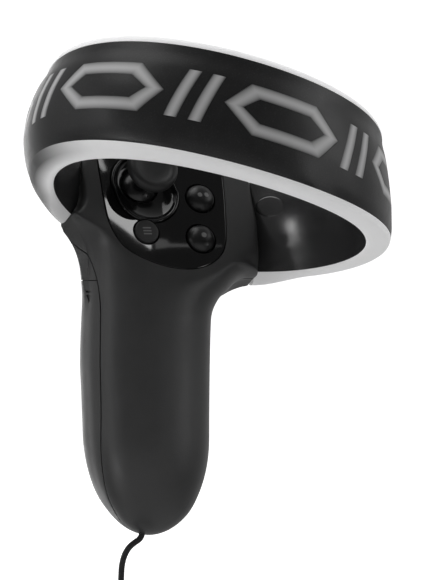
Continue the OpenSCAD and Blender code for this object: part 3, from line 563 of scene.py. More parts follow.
# inlaid windows: long six-sided loops with a pair of leaning bars between each two
HEX_OUT = [(19, 0), (11, 0.24), (-11, 0.24), (-19, 0), (-11, -0.24), (11, -0.24)]
HEX_IN = [(13.4, 0), (8.4, 0.115), (-8.4, 0.115), (-13.4, 0), (-8.4, -0.115), (8.4, -0.115)]
HEX_MID = [158, 214, 270, 326, 382]
BAR_MID = [186, 242, 298, 354]
INLAY_T = 0.53


CORE = {}


def across_edge(across):
    """0 along the middle of a line and 1 at its two edges, for the face and then for the back."""
    e = [abs(2 * k / across - 1) ** 1.6 for k in range(across + 1)]
    return e + e[::-1]


def hex_loop(name, phi, g, up, down, mat):
    per, across = ((20, 8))
    n = 6 * per
    rows = []
    for i in range(n):
        s, u = i // per, (i % per) / per
        o = np.array(HEX_OUT[s]) * (1 - u) + np.array(HEX_OUT[(s + 1) % 6]) * u
        h = np.array(HEX_IN[s]) * (1 - u) + np.array(HEX_IN[(s + 1) % 6]) * u
        o, h = o * (1 + g / 8), h * (1 - g / 5)
        ring = []
        for k in range(across + 1):
            v = o + (h - o) * k / across
            edge = k in (0, across)
            ring.append((v, up - (0.06 if edge and up < 1 else 0)))
        for k in range(across, -1, -1):
            v = o + (h - o) * k / across
            ring.append((v, down))
        rows.append([rp(phi + v[0], float(ring_r(INLAY_T + v[1])) + dr, INLAY_T + v[1]) for v, dr in ring])
    nc = len(rows[0])
    verts = np.array(rows).reshape(-1, 3)
    faces = grid_faces(n, nc, wrap=True)
    for i in range(nc):
        k = (i + 1) % nc
        faces.append(((n - 1) * nc + i, (n - 1) * nc + k, k, i))
    CORE[name] = across_edge(across) * n
    return make(name, verts, faces, mat)


def lean_bar(name, phi, g, up, down, mat):
    rows_n, across = 16, 8
    rows = []
    for j in range(rows_n + 1):
        u = j / rows_n
        t = INLAY_T + (0.24 + g * 0.03) * (2 * u - 1)
        mid = phi - 3.4 + 6.8 * u
        half = 1.9 + g
        ring = [(mid + half * (1 - 2 * k / across), up - (0.06 if k in (0, across) and up < 1 else 0)) for k in range(across + 1)]
        ring += [(mid + half * (1 - 2 * k / across), down) for k in range(across, -1, -1)]
        rows.append([rp(p, float(ring_r(t)) + dr, t) for p, dr in ring])
    nc = len(rows[0])
    verts = np.array(rows).reshape(-1, 3)
    faces = grid_faces(rows_n + 1, nc, wrap=True)
    faces.append(tuple(range(nc))[::-1])
    faces.append(tuple(rows_n * nc + i for i in range(nc)))
    CORE[name] = across_edge(across) * (rows_n + 1)
    return make(name, verts, faces, mat)


def inlay_set(g, up, down, mat):
    obs = [hex_loop("h%d" % i, a, g, up, down, mat) for i, a in enumerate(HEX_MID)]
    for i, a in enumerate(BAR_MID):
        obs += [lean_bar("b%d%d" % (i, s), a + s * 3.6, g, up, down, mat) for s in (-1, 1)]
    return obs


inlay_parts = inlay_set(0, 0.02, -0.7, M_INLAY)
inlay_edge = [e for ob in inlay_parts for e in CORE[ob.name]]
ring_inlays = join_meshes("ring_inlays_skin", inlay_parts, M_INLAY)
# painted shade on the inlay lines: 0 along each line's middle, 1 at its edges, where the material darkens them
paint(ring_inlays, "edge", inlay_edge)
cut(ring_band, join_meshes("pockets", inlay_set(0.06, 1.5, -0.78, None)))

# oval screw caps in the inner wall
CAP_PHI = (41.5, 139.5)


def oval_piece(name, phi, g, d0, d1, mat, dome=0.0):
    """An oval plug that looks in along the radius; d counts outward from the wall's face."""
    base = rp(phi, float(ring_in(0.72)), 0.72)
    a = math.radians(phi)
    out = np.array([math.cos(a), math.sin(a), 0])
    up = np.array([0, 0, 1.0])
    side = np.cross(up, out)
    rings = [(0.0, d0), (0.5, d0 + dome * 0.1), (0.9, d0 + dome * 0.5), (0.985, d0 + dome * 0.8), (1.0, d0 + dome), (1.0, d1), (0.0, d1)] if dome else [(0.0, d0), (1.0, d0), (1.0, d1), (0.0, d1)]
    n = 48
    verts = []
    for s, d in rings:
        for i in range(n):
            w = 2 * math.pi * i / n
            x, z = (4.5 + g) * s * math.cos(w), (3.0 + g) * s * math.sin(w)
            verts.append(base + side * x + up * z + out * (d - (43.5 - math.sqrt(max(0, 43.5 ** 2 - x * x))) * (1 if dome else 0)))
    return make(name, verts, grid_faces(len(rings), n, wrap=True), mat, 40)


ring_caps = join_meshes("ring_screw_caps_skin", [oval_piece("cap%d" % k, p, 0, -0.12, 0.65, M_LINER, 0.14) for k, p in enumerate(CAP_PHI)], M_LINER, 40)
for k, p in enumerate(CAP_PHI):
    cut(ring_wall, oval_piece("capcut%d" % k, p, 0.14, -3, 0.75, None))

# ------------------------------------------------------------------ body surface
_tt = np.linspace(-0.4, 1.2, 400)


def tilt0(t):
    return -ring_kx(t) * ring_xc(t) - ring_ky(t) * RING_YC + RING_Q * RING_YC ** 2


_zz = RING_Z0 + RING_H * _tt - tilt0(_tt)


def level(Z0):
    return np.interp(Z0, _zz, _tt)


def zs(x, y, Z0):
    t = level(Z0)
    X, Y = x - ring_xc(t), y - RING_YC
    return Z0 - smooth(24, 46, Z0) * (ring_kx(t) * X + ring_ky(t) * Y + RING_Q * Y * Y - tilt0(t))


GA, GN, GF = 18.4, 18.0, 17.3


def foot(Z0):
    return 1.0 if Z0 > -10 else math.sqrt(max(0.0, 1 - ((Z0 + 10) / 29.8) ** 2))


_sl = pchip([(-40, 1.2), (-33.9, 1.2), (-27.7, 0.8), (-19.8, 0.65), (-9.6, 0.3), (2.7, -0.2), (12.4, -0.6), (23.6, -0.4), (30, -0.2)])
_sr = pchip([(-40, 0.6), (-33.9, 0.6), (-27.7, 0.1), (-19.8, -0.25), (-9.6, -0.55), (12.4, -0.3), (23.6, 0), (30, 0.9)])
_ny = pchip([(10, GN), (20, GN + 0.2), (30, GN + 0.6), (46, GN + 1.4)])
_fy = pchip([(10, GF), (20, GF - 0.8), (28, GF - 2.3), (34, GF - 3.7), (40, GF - 4.9), (46, 11.6)])
_fl = pchip([(29, 0), (31, 0), (34, 0.003), (36, 0.015), (38, 0.065), (40, 0.17), (42, 0.42), (43.2, 0.72), (44.2, 0.94), (44.9, 1), (46, 1)])
_fr = pchip([(24, 0), (26, 0.01), (30, 0.088), (34, 0.3), (37, 0.43), (39.5, 0.56), (41.5, 0.72), (43, 0.98), (43.6, 1), (45, 1)])
SEAM = pchip([(-60, 0), (-40, 0), (-30, -3.5), (-20, -6), (-10, -7.4), (0, -8), (15, -8.3), (26, -8.2), (31, -7.5), (35.4, -6.3), (38, -5.1), (41.5, -2.9), (45.2, 0), (49, 1.3), (52.5, 1.9), (58, 2.2), (110, 2.2)])
SE = 2 / 2.3
N_NEAR, N_FAR, N_END = ((181, 121, 9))


def smax(a, b, k):
    return 0.5 * (a + b + np.sqrt((a - b) ** 2 + k * k))


def smin(a, b, k):
    return 0.5 * (a + b - np.sqrt((a - b) ** 2 + k * k))


def outline(Z0, inset=0.0):
    """The closed section at one height: near curve, right end, far curve and left end."""
    t = float(level(Z0))
    hl, hr = float(_fl(Z0)), float(_fr(Z0))
    hf = (hl + hr) / 2
    fl = foot(Z0)
    fl_o, fr_o = float(phi_l(t, ring_r(t))) - 0.2, float(phi_r(t, ring_r(t))) + 0.2
    il, ol = rp(phi_l(t) - 0.2, ring_in(t), t)[:2], rp(fl_o, ring_r(t), t)[:2]
    ir, orr = rp(phi_r(t) + 0.2, ring_in(t), t)[:2], rp(fr_o, ring_r(t), t)[:2]
    xl, xr = float(_sl(Z0)) - GA * fl, float(_sr(Z0)) + GA * fl
    pl = np.array([xl, -1.2 * fl]) * (1 - hl) + il * hl
    ql = np.array([xl, 1.2 * fl]) * (1 - hl) + ol * hl
    pr = np.array([xr, -1.2 * fl]) * (1 - hr) + ir * hr
    qr = np.array([xr, 1.2 * fl]) * (1 - hr) + orr * hr
    mn, mf = (pl + pr) / 2, (ql + qr) / 2
    bn, bf = mn[1] + float(_ny(Z0)) * fl, float(_fy(Z0)) * fl - mf[1]
    a = np.linspace(math.pi, 2 * math.pi, N_NEAR)
    c, s = np.cos(a), np.abs(np.sin(a))
    s[0] = s[-1] = 0
    cc = np.sign(c) * np.abs(c) ** SE
    near = mn + np.outer(cc, (pr - pl) / 2)
    near[:, 1] -= bn * s ** SE
    if Z0 > 24:
        yf = np.full(N_NEAR, -10.0)
        for _ in range(7):
            yf = -17 + 0.4663 * (zs(near[:, 0], yf, Z0) - 38.7)
        edge = np.minimum(1, 6 * s)
        y = smax(near[:, 1], yf, 1.6 * edge)
        yw = RING_YC + np.sqrt(np.maximum(0, ring_in(t) ** 2 - (near[:, 0] - ring_xc(t)) ** 2))
        yw = yw + 60 * (1 - smooth(42.0, 45.0, Z0))
        near[:, 1] = smin(y, yw, 0.9 * edge)
    a = np.linspace(0, math.pi, N_FAR)
    c, s = np.cos(a), np.sin(a)
    s[0] = s[-1] = 0
    cc = np.sign(c) * np.abs(c) ** SE
    far = mf + np.outer(cc, (qr - ql) / 2)
    far[:, 1] += bf * s ** SE
    f = fr_o + (fl_o - fr_o) * a / math.pi
    arc = rp(f, ring_r(t), t)[:, :2]
    far = far * (1 - hf) + arc * hf
    k = np.linspace(0, 1, N_END + 2)[1:-1, None]
    right = near[-1] + (far[0] - near[-1]) * k
    left = far[-1] + (near[0] - far[-1]) * k
    o = np.vstack([near, right, far, left])
    if inset > 0:
        lo, hi = o.min(0), o.max(0)
        m, h = (lo + hi) / 2, (hi - lo) / 2
        o = m + (o - m) * np.maximum(0.02, 1 - inset / h)
    return o


I_PL, I_PR = 0, N_NEAR - 1
I_QR, I_QL = N_NEAR + N_END, N_NEAR + N_END + N_FAR - 1
N_ALL = N_NEAR + 2 * N_END + N_FAR
ROLL = (I_QR + I_QL) // 2


def stations():
    z = []

    def span(a, b, n):
        z.extend(np.linspace(a, b, n, endpoint=False))

    q = 1.0
    th = np.linspace(0.03, math.pi / 2, int(26 * q) + 6)
    z.extend(-10 - 29.8 * np.cos(th[:-1]))
    span(-10, 22, int(22 * q))
    span(22, 33, int(12 * q))
    span(33, 39, int(12 * q))
    span(39, 46.5, int(26 * q))
    span(46.5, 50, int(6 * q))
    span(50, 72, int(28 * q))
    return z


def body_rows():
    """Rows of (outline, inner outline, level) from the foot to the rounded top."""
    rows = []
    for Z0 in stations():
        rows.append((Z0, 0.0, 1.0))
    for Z0, w in ((72.0, 0.0), (72.5, 0.05), (72.85, 0.18), (73.08, 0.4), (73.18, 0.7), (73.2, 1.1)):
        rows.append((Z0, w, 1.0))
    for k in (0.9, 0.75, 0.55, 0.35, 0.15):
        rows.append((73.2, 1.1, k))
    return rows


def sample_row(spec, wall):
    Z0, w, k = spec
    o = outline(Z0, w)
    zc = np.zeros(len(o)) + Z0
    if k < 1:
        lo, hi = o.min(0), o.max(0)
        m = np.array([(lo[0] + hi[0]) / 2, float(SEAM(72.0))])
        o = m + (o - m) * k
    P = np.column_stack([o, zs(o[:, 0], o[:, 1], Z0)])
    lo, hi = o.min(0), o.max(0)
    m, h = (lo + hi) / 2, np.maximum((hi - lo) / 2, 1e-3)
    sc = np.maximum(0.3, 1 - wall / h)
    i2 = m + (o - m) * sc
    Zi = min(max(Z0, -39.8 + wall * 1.15), 73.2 - wall * 1.2)
    I = np.column_stack([i2, zs(i2[:, 0], i2[:, 1], Zi)])
    return np.roll(P, -ROLL, axis=0), np.roll(I, -ROLL, axis=0)


def at(P, u):
    """The polyline P at fractional index u (closed)."""
    u = np.asarray(u)
    i = np.floor(u).astype(int)
    f = (u - i)[:, None]
    n = len(P)
    return P[i % n] * (1 - f) + P[(i + 1) % n] * f


def crossings(P):
    """Where the section passes the seam, going from the far middle round the left side and back on the right."""
    Q = np.vstack([P, P[:1]])
    g = Q[:, 1] - SEAM(Q[:, 2])
    s = np.where((g[:-1] > 0) & (g[1:] <= 0))[0]
    e = np.where((g[:-1] <= 0) & (g[1:] > 0))[0]
    i, j = s[0], e[-1]
    return i + g[i] / (g[i] - g[i + 1]), j + g[j] / (g[j] - g[j + 1])


def inward(G):
    """Unit normals of a grid of points, from its rows and columns."""
    du = np.gradient(G, axis=1)
    dv = np.gradient(G, axis=0)
    n = np.cross(du, dv)
    n /= np.maximum(np.linalg.norm(n, axis=2, keepdims=True), 1e-9)
    c = G.reshape(-1, 3).mean(0)
    return n


GAP = 0.2
EDGE = [(0.0, 0.1), (0.04, 0.04), (0.1, 0.01), (0.24, 0.0)]


def shell_half(name, front, mat, wall=2.0):
    """One half of the body on its side of the seam: an outer skin, rounded seam edges, an inner skin."""
    outer, inner = [], []
    rel = lambda i: (i - ROLL) % N_ALL
    nb, ne = (N_NEAR, 8) if front else (N_FAR, 8)
    for spec in body_rows():
        P, I = sample_row(spec, wall)
        uL, uR = crossings(P)
        step = np.linalg.norm(np.diff(np.vstack([P, P[:1]]), axis=0), axis=1)

        def walk(u, d, sign):
            """The index at arc distance d from u."""
            left = d
            i = int(math.floor(u))
            f = u - i
            while True:
                room = step[i % N_ALL] * ((1 - f) if sign > 0 else f)
                if room >= left or left < 1e-9:
                    return i + f + sign * left / max(step[i % N_ALL], 1e-9)
                left -= room
                if sign > 0:
                    i, f = i + 1, 0.0
                else:
                    i, f = i - 1, 1.0

        if front:
            a, b = walk(uL, GAP, 1), walk(uR, GAP, -1)
            cA, cB = max(a, rel(I_PL)), min(b, rel(I_PR))
            mids = [cA, cB]
        else:
            a, b = walk(uR, GAP, 1), walk(uL, GAP, -1) + N_ALL
            PRi, PLi = rel(I_PR), rel(I_PL) + N_ALL
            QRi, QLi = rel(I_QR), rel(I_QL) + N_ALL
            c1, c4 = max(a, PRi), min(b, PLi)
            c2, c3 = max(c1, QRi), min(c4, QLi)
            mids = [c1, c2, c3, c4]
        ea = [walk(a, d, 1) for d, _ in EDGE]
        eb = [walk(b, d, -1) for d, _ in EDGE][::-1]
        stops = [ea[-1]] + [min(max(m, ea[-1]), eb[0]) for m in mids] + [eb[0]]
        counts = [ne, nb, ne] if front else [ne, ne, nb, ne, ne]
        u = list(ea[:-1])
        for s0, s1, c in zip(stops[:-1], stops[1:], counts):
            u += list(np.linspace(s0, s1, c, endpoint=False))
        u += list(eb)
        u = np.array(u)
        outer.append(at(P, u))
        inner.append(at(I, u))
    G, H = np.array(outer), np.array(inner)
    # rounded seam edges: the outermost columns sink towards the inner skin
    n = H - G
    n /= np.maximum(np.linalg.norm(n, axis=2, keepdims=True), 1e-6)
    ne_ = len(EDGE)
    for k, (_, dn) in enumerate(EDGE):
        G[:, k] += n[:, k] * dn
        G[:, -1 - k] += n[:, -1 - k] * dn
    # the foot and the top close to a point on the seam
    def closed(A, zfoot, ztop):
        f = A[0].mean(0)
        f = np.array([f[0], float(SEAM(-40)) + (-GAP if front else GAP), zfoot])
        tpt = A[-1].mean(0)
        tp = np.array([tpt[0], float(SEAM(73)) + (-GAP if front else GAP), 0])
        tp[2] = zs(tp[0], tp[1], ztop)
        return np.concatenate([np.tile(f, (1, A.shape[1], 1)), A, np.tile(tp, (1, A.shape[1], 1))])

    G = closed(G, -39.8, 73.2)
    H = closed(H, -39.8 + wall * 1.15, 73.2 - wall * 1.2)
    nr, nc = G.shape[:2]
    verts = np.vstack([G.reshape(-1, 3), H.reshape(-1, 3)])
    faces = grid_faces(nr, nc) + grid_faces(nr, nc, base=nr * nc, flip=True)
    o = nr * nc
    for j in range(nr - 1):
        for i, fl in ((0, False), (nc - 1, True)):
            q = (j * nc + i, (j + 1) * nc + i, o + (j + 1) * nc + i, o + j * nc + i)
            faces.append(q[::-1] if fl else q)
    return make(name, verts, faces, mat, 30)


front_shell = shell_half("front_shell_skin", True, M_SHELL)
rear_half = shell_half("rear_shell_skin", False, M_SHELL)

# ------------------------------------------------------------------ thumb face
F0 = np.array([0, -17.0, 38.7])
EX = np.array([1.0, 0, 0])
EU = np.array([0, 0.422618, 0.906308])
EN = np.array([0, -0.906308, 0.422618])


def fp(X, U, d):
    return F0 + X * EX + U * EU + d * EN


PANEL = [(-16.2, 41.2), (-16.3, 30), (-16.3, 18), (-15.8, 14.4), (-14.8, 11.3), (-13.3, 8.6), (-11.4, 6.4), (-8.4, 4.2), (-4.8, 2.4), (-1.2, 1.1),
         (2.3, 0.3), (6.8, 0), (10.4, 0.5), (13.3, 1.5), (15.8, 2.9), (17.7, 4.6), (19, 6.6), (19.9, 8.8), (20.8, 13), (21.5, 18), (22.3, 24), (22.9, 30.8)]
panel_curve = np.array(spline(PANEL, 6))


def offset_loop(P, d):
    """A closed loop drawn outward by d (the loop runs anticlockwise)."""
    n = len(P)
    out = []
    for i in range(n):
        a, b, c = P[(i - 1) % n], P[i], P[(i + 1) % n]
        t1, t2 = (b - a) / max(np.linalg.norm(b - a), 1e-9), (c - b) / max(np.linalg.norm(c - b), 1e-9)
        n1, n2 = np.array([t1[1], -t1[0]]), np.array([t2[1], -t2[0]])
        m = n1 + n2
        m /= max(np.linalg.norm(m), 1e-9)
        out.append(b + m * d / max(0.4, float(m @ n1)))
    return np.array(out)


def prism(name, layers, mat=None, angle=32):
    """Stacked loops in the face frame: layers of (loop, d), closed by flat ends."""
    n = len(layers[0][0])
    verts = [fp(p[0], p[1], d) for loop, d in layers for p in loop]
    faces = grid_faces(len(layers), n, wrap=True)
    faces.append(tuple(range(n))[::-1])
    faces.append(tuple((len(layers) - 1) * n + i for i in range(n)))
    return make(name, verts, faces, mat, angle)


def lathe(name, prof, at_xu, mat, seg=96, angle=32):
    """A profile of (radius, height) points turned about the face's normal."""
    seg = seg
    verts = []
    for r, d in prof:
        for i in range(seg):
            a = 2 * math.pi * i / seg
            verts.append(fp(at_xu[0] + r * math.cos(a), at_xu[1] + r * math.sin(a), d))
    return make(name, verts, grid_faces(len(prof), seg, wrap=True), mat, angle)


seat = prism("seat", [(offset_loop(panel_curve, 0.15), -2.05), (offset_loop(panel_curve, 0.15), -0.25), (offset_loop(panel_curve, 0.3), 0.0), (offset_loop(panel_curve, 0.3), 9.0)])
cut(front_shell, seat)
cut(front_shell, prism("well", [(offset_loop(panel_curve, -1.4), -5.5), (offset_loop(panel_curve, -1.4), -1.0)]))

STICK, LOWER, UPPER, MENU = (-3.5, 28), (12, 9.7), (14.2, 22.9), (-4.9, 11.7)
DISH_LOW, DISH_HIGH = (-2.5, 24.7), (-3.3, 27)
BTN_R, BTN_H, MENU_R, PIVOT = 4.3, 2.6, 3.6, 6.6


def dish_loop(r, u, n):
    """Round below and above about two centres, which move to the stick's own as u goes to 0."""
    S = np.array(STICK)
    lo, hi = S + (np.array(DISH_LOW) - S) * u, S + (np.array(DISH_HIGH) - S) * u
    out = []
    for i in range(n):
        w = 2 * math.pi * (i + 0.5) / n
        out.append((hi if w < math.pi else lo) + r * np.array([math.cos(w), math.sin(w)]))
    return np.array(out)


def dish_loft(name, prof, mat=None, closed=True):
    n = 144
    verts = [fp(q[0], q[1], d) for r, d, u in prof for q in dish_loop(r, u, n)]
    faces = grid_faces(len(prof), n, wrap=True)
    if not closed:
        faces += [tuple(range(n))[::-1], tuple((len(prof) - 1) * n + i for i in range(n))]
    return make(name, verts, faces, mat)


panel = prism("face_panel_skin", [(panel_curve, -2.0), (panel_curve, -0.3), (offset_loop(panel_curve, -0.04), -0.12), (offset_loop(panel_curve, -0.14), -0.03), (offset_loop(panel_curve, -0.3), 0.0)], M_PANEL)
cut(panel, dish_loft("hole", [(10.12, -4, 1), (10.12, -0.25, 1), (10.2, -0.1, 1), (10.38, 0.03, 1), (10.38, 3, 1)], closed=False))
for c, r in ((LOWER, BTN_R + 0.35), (UPPER, BTN_R + 0.35), (MENU, MENU_R + 0.35)):
    cut(panel, lathe("hole", [(0, -4), (r, -4), (r, -0.25), (r + 0.07, -0.1), (r + 0.25, 0.03), (r + 0.25, 3), (0, 3)], c, None))
for poly in panel.data.polygons:
    if poly.normal.dot(Vector(EN)) > 0.9999:
        poly.use_smooth = False
cut(front_shell, dish_loft("dish_room", [(10.4, -3.7, 1), (10.4, -0.7, 1)], closed=False))


def rounded(points, per=5):
    return [(max(0.0, float(p[0])), float(p[1])) for p in spline(points, per)]


dish_prof = [(10, -3.0, 1)] + [tuple(q) for q in spline([(10, 0.0, 1), (9.97, 0.32, 1), (9.8, 0.55, 1), (9.5, 0.62, 1), (9.2, 0.48, 0.98), (9.0, 0.1, 0.94), (8.6, -0.7, 0.82), (7.6, -1.6, 0.5), (6.6, -2.1, 0.15), (6.0, -2.2, 0)], 4)] + [(6.7, -3.0, 0), (10, -3.0, 1)]
dish = dish_loft("stick_dish_skin", dish_prof, M_DISH)
cut(dish, lathe("m1", [(0, -2.3), (MENU_R + 0.35, -2.3), (MENU_R + 0.35, 3), (0, 3)], MENU, None))
cut(dish, lathe("m2", [(0, -5), (MENU_R + 0.7, -5), (MENU_R + 0.7, -2.2), (0, -2.2)], MENU, None))

cap_prof = [(0, 0.2), (2.4, 0.2), (2.6, 0.5)] + rounded([(2.6, 1.0), (2.6, 4.4), (3.0, 5.7), (4.4, 6.65), (6.2, 7.2), (7.15, 7.6), (7.52, 8.1), (7.6, 8.8), (7.56, 9.5), (7.3, 10.3), (6.8, 10.8), (6.2, 10.97), (5.6, 10.85), (4.8, 10.45), (3.4, 10.05), (1.8, 9.9), (0, 9.85)], 5)
stick_cap = lathe("stick_cap_skin", cap_prof, STICK, M_RUBBER, 128)
boot_prof = [(7 * math.sin(math.radians(a)), 7 * math.cos(math.radians(a)) - PIVOT) for a in np.linspace(0, 50, 26)]
boot_prof += [(6.95 * math.sin(math.radians(50.8)), 6.95 * math.cos(math.radians(50.8)) - PIVOT), (6.65 * math.sin(math.radians(51)), 6.65 * math.cos(math.radians(51)) - PIVOT)]
boot_prof += [(6.3 * math.sin(math.radians(a)), 6.3 * math.cos(math.radians(a)) - PIVOT) for a in np.linspace(51, 0, 26)]
stick_boot = lathe("stick_boot_skin", [(max(0.0, r), d) for r, d in boot_prof], STICK, M_BOOT, 128)


def dome(r, h):
    pts = [(0, -3.4), (r + 0.9, -3.4), (r + 0.9, -2.6), (r, -2.6), (r, -0.9)]
    for a in range(0, 90, 5):
        w = math.radians(a)
        pts.append((r * math.cos(w) ** 0.8, (h + 0.3) * math.sin(w) ** 1.1 - 0.3))
    pts.append((0, h))
    return pts


def dome_height(rho):
    w = math.acos(min(1.0, (rho / BTN_R) ** 1.25))
    return (BTN_H + 0.3) * math.sin(w) ** 1.1 - 0.3


button_lower = lathe("button_lower_skin", dome(BTN_R, BTN_H), LOWER, M_BUTTON, 128, 40)
button_upper = lathe("button_upper_skin", dome(BTN_R, BTN_H), UPPER, M_BUTTON, 128, 40)
menu_prof = [(0, -3.4), (MENU_R + 0.35, -3.4), (MENU_R + 0.35, -2.6), (MENU_R, -2.6), (MENU_R, 0.3)] + rounded([(MENU_R, 0.4), (MENU_R - 0.04, 0.58), (MENU_R - 0.16, 0.72), (MENU_R - 0.4, 0.8), (2.2, 0.86), (0, 0.9)], 4)
menu_button = lathe("menu_button_skin", menu_prof, MENU, M_MENU, 96)


def pip(name, centre, off, r, height):
    """A round dot laid in a key's top: its face follows the key's curve."""
    n = 32
    rings = [(0.0, 0.03), (0.6, 0.03), (0.92, 0.025), (1.0, 0.0), (1.0, -0.2), (0.0, -0.2)]
    v = []
    for s, up in rings:
        for i in range(n):
            a = 2 * math.pi * i / n
            x, y = off[0] + r * s * math.cos(a), off[1] + r * s * math.sin(a)
            v.append(fp(centre[0] + x, centre[1] + y, height(math.hypot(x, y)) + up))
    return make(name, v, grid_faces(len(rings), n, wrap=True), M_MARK, 40)


def bar(name, centre, off, w, h, z):
    """A short bar with round ends laid in a flat key."""
    n = 12
    loop = [(off[0] + w / 2 - h / 2 + h / 2 * math.cos(a), off[1] + h / 2 * math.sin(a)) for a in np.linspace(-math.pi / 2, math.pi / 2, n)]
    loop += [(off[0] - w / 2 + h / 2 + h / 2 * math.cos(a), off[1] + h / 2 * math.sin(a)) for a in np.linspace(math.pi / 2, 3 * math.pi / 2, n)]
    lay = [(np.array([(centre[0] + x, centre[1] + y) for x, y in loop]), d) for d in (z - 0.2, z + 0.02)]
    return prism(name, lay, M_MARK, 40)


mark_lower = pip("button_lower_mark", LOWER, (0, 0), 0.8, dome_height)
mark_upper = join_meshes("button_upper_mark", [pip("p%d" % k, UPPER, (x, 0), 0.7, dome_height) for k, x in enumerate((-1.05, 1.05))], M_MARK, 40)
mark_menu = join_meshes("menu_button_mark", [bar("b%d" % k, MENU, (0, u), 2.6, 0.42, 0.895) for k, u in enumerate((-0.95, 0, 0.95))], M_MARK, 40)

# ------------------------------------------------------------------ rear shell and battery cover
def box_mesh(name, lo, hi):
    lo, hi = np.array(lo, float), np.array(hi, float)
    v = [(x, y, z) for z in (lo[2], hi[2]) for y in (lo[1], hi[1]) for x in (lo[0], hi[0])]
    f = [(0, 2, 3, 1), (4, 5, 7, 6), (0, 1, 5, 4), (2, 6, 7, 3), (0, 4, 6, 2), (1, 3, 7, 5)]
    return make(name, v, f)


CROSS, COVER_X = 35.3, 20.3
cover = bpy.data.objects.new("battery_cover_skin", rear_half.data.copy())
scene.collection.objects.link(cover)
cut(cover, box_mesh("c0", (-80, -80, -80), (COVER_X, 80, CROSS - 0.12)), "INTERSECT")
cut(cover, box_mesh("c1", (-11.35, 5, 5.65), (11.35, 60, 80)))
cover.data.materials.clear()
cover.data.materials.append(M_COVER)


def side_cut(name, pts, x0, x1):
    n = len(pts)
    v = [(x0, p[0], p[1]) for p in pts] + [(x1, p[0], p[1]) for p in pts]
    return make(name, v, grid_faces(2, n, wrap=True) + [tuple(range(n))[::-1], tuple(range(n, 2 * n))])


# the slide mark pressed into the cover's left side: a bar over an arrow head
cut(cover, side_cut("s0", [(-3.3, 31.7), (0.3, 31.7), (0.3, 32.3), (-3.3, 32.3)], -24, -18.32))
cut(cover, side_cut("s1", [(-1.5, 28.6), (0.3, 31.1), (-3.3, 31.1)], -24, -18.32))
keep = box_mesh("k0", (-80, -80, -80), (COVER_X + 0.3, 80, CROSS + 0.12))
cut(keep, box_mesh("k1", (-11, 5, 6), (11, 90, 90)))
cut(rear_half, keep)


def extrude_x(name, pts, x0, x1, mat=None, angle=32):
    n = len(pts)
    v = [(x0, p[0], p[1]) for p in pts] + [(x1, p[0], p[1]) for p in pts]
    f = grid_faces(2, n, wrap=True) + [tuple(range(n))[::-1], tuple(range(n, 2 * n))]
    return make(name, v, f, mat, angle)




_zone = {}


def wall_at(w, z):
    """The section's points at an inset of w and one true height, found between tilted sections."""
    if w not in _zone:
        rows = []
        for Z0 in np.linspace(22, 46, 49):
            o = outline(Z0, w)
            rows.append(np.column_stack([o, zs(o[:, 0], o[:, 1], Z0)]))
        _zone[w] = np.array(rows)
    A = _zone[w]
    return np.array([[np.interp(z, A[:, i, 2], A[:, i, 0]), np.interp(z, A[:, i, 2], A[:, i, 1]), z] for i in range(A.shape[1])])


def rear_strip(name, chain, clear):
    """A closed strip round the far side: a chain of (inset, height), kept clear of the seam."""
    G = np.array([wall_at(w, z) for w, z in chain])
    far = np.where((G[:, :, 1] > SEAM(G[:, :, 2]) + clear).all(0))[0]
    run = max(np.split(far, np.where(np.diff(far) != 1)[0] + 1), key=len)
    G = G[:, run]
    m, n = G.shape[:2]
    faces = [(j * n + i, j * n + i + 1, (j + 1) % m * n + i + 1, (j + 1) % m * n + i) for j in range(m) for i in range(n - 1)]
    faces.append(tuple(j * n for j in range(m)))
    faces.append(tuple(j * n + n - 1 for j in range(m))[::-1])
    return make(name, G.reshape(-1, 3), faces)


# a tongue under the rear shell's edge reaches down into a step in the battery cover's top edge
tongue = rear_strip("rear_shell_tongue", [(0.4, CROSS - 0.9), (0.4, CROSS), (0.4, CROSS + 0.1), (2.9, CROSS + 0.1), (2.9, CROSS), (2.9, CROSS - 2.6), (2.4, CROSS - 2.6), (2.4, CROSS - 0.9)], 0.4)
tongue.data.materials.append(M_LIP)
cut(cover, rear_strip("step", [(0.25, CROSS - 1.1), (0.25, CROSS), (0.25, CROSS + 0.6), (3.4, CROSS + 0.6), (3.4, CROSS), (3.4, CROSS - 1.1)], 0.05))
TX, TW = 0.5, 16.0
cut(rear_half, box_mesh("slot", (TX - TW / 2 - 0.5, 5, 32), (TX + TW / 2 + 0.5, 40, 48.6)))
cut(tongue, box_mesh("slot", (TX - TW / 2 - 3, 5, 30), (TX + TW / 2 + 3, 40, 48.6)))
# the tongue ends with the cover's top edge and doesn't reach into the flare
cut(tongue, box_mesh("end", (20.9, -20, 28), (45, 30, 40)))


def bumper_mesh(name, r0, r1, grow, mat=None, round_=0.0):
    w, hz = 11 + grow, 3 + grow
    xs = np.linspace(-w, w, 41)
    loop = [(x, math.sqrt(r1 * r1 - x * x)) for x in xs[::-1]] + [(x, math.sqrt(r0 * r0 - x * x)) for x in xs]
    layers = [(-hz, 0), (hz, 0)]
    v = [(3.4 + p[0], RING_YC + p[1], 55.5 + z) for z, _ in layers for p in loop]
    n = len(loop)
    f = grid_faces(2, n, wrap=True) + [tuple(range(n))[::-1], tuple(range(n, 2 * n))]
    ob = make(name, v, f, mat)
    return ob


cut(rear_half, bumper_mesh("bslot", 43, 60, 0.4))


def capsule_loop(r, n=24):
    pts = [(0.3 + r * math.cos(a), 22 + r * math.sin(a)) for a in np.linspace(0, math.pi, n)]
    pts += [(0.3 + r * math.cos(a), 14 + r * math.sin(a)) for a in np.linspace(math.pi, 2 * math.pi, n)]
    return pts


def capsule(name, layers, mat=None):
    n = len(layers[0][0])
    v = [(p[0], y, p[1]) for loop, y in layers for p in loop]
    f = grid_faces(len(layers), n, wrap=True) + [tuple(range(n))[::-1], tuple((len(layers) - 1) * n + i for i in range(n))]
    return make(name, v, f, mat, 40)


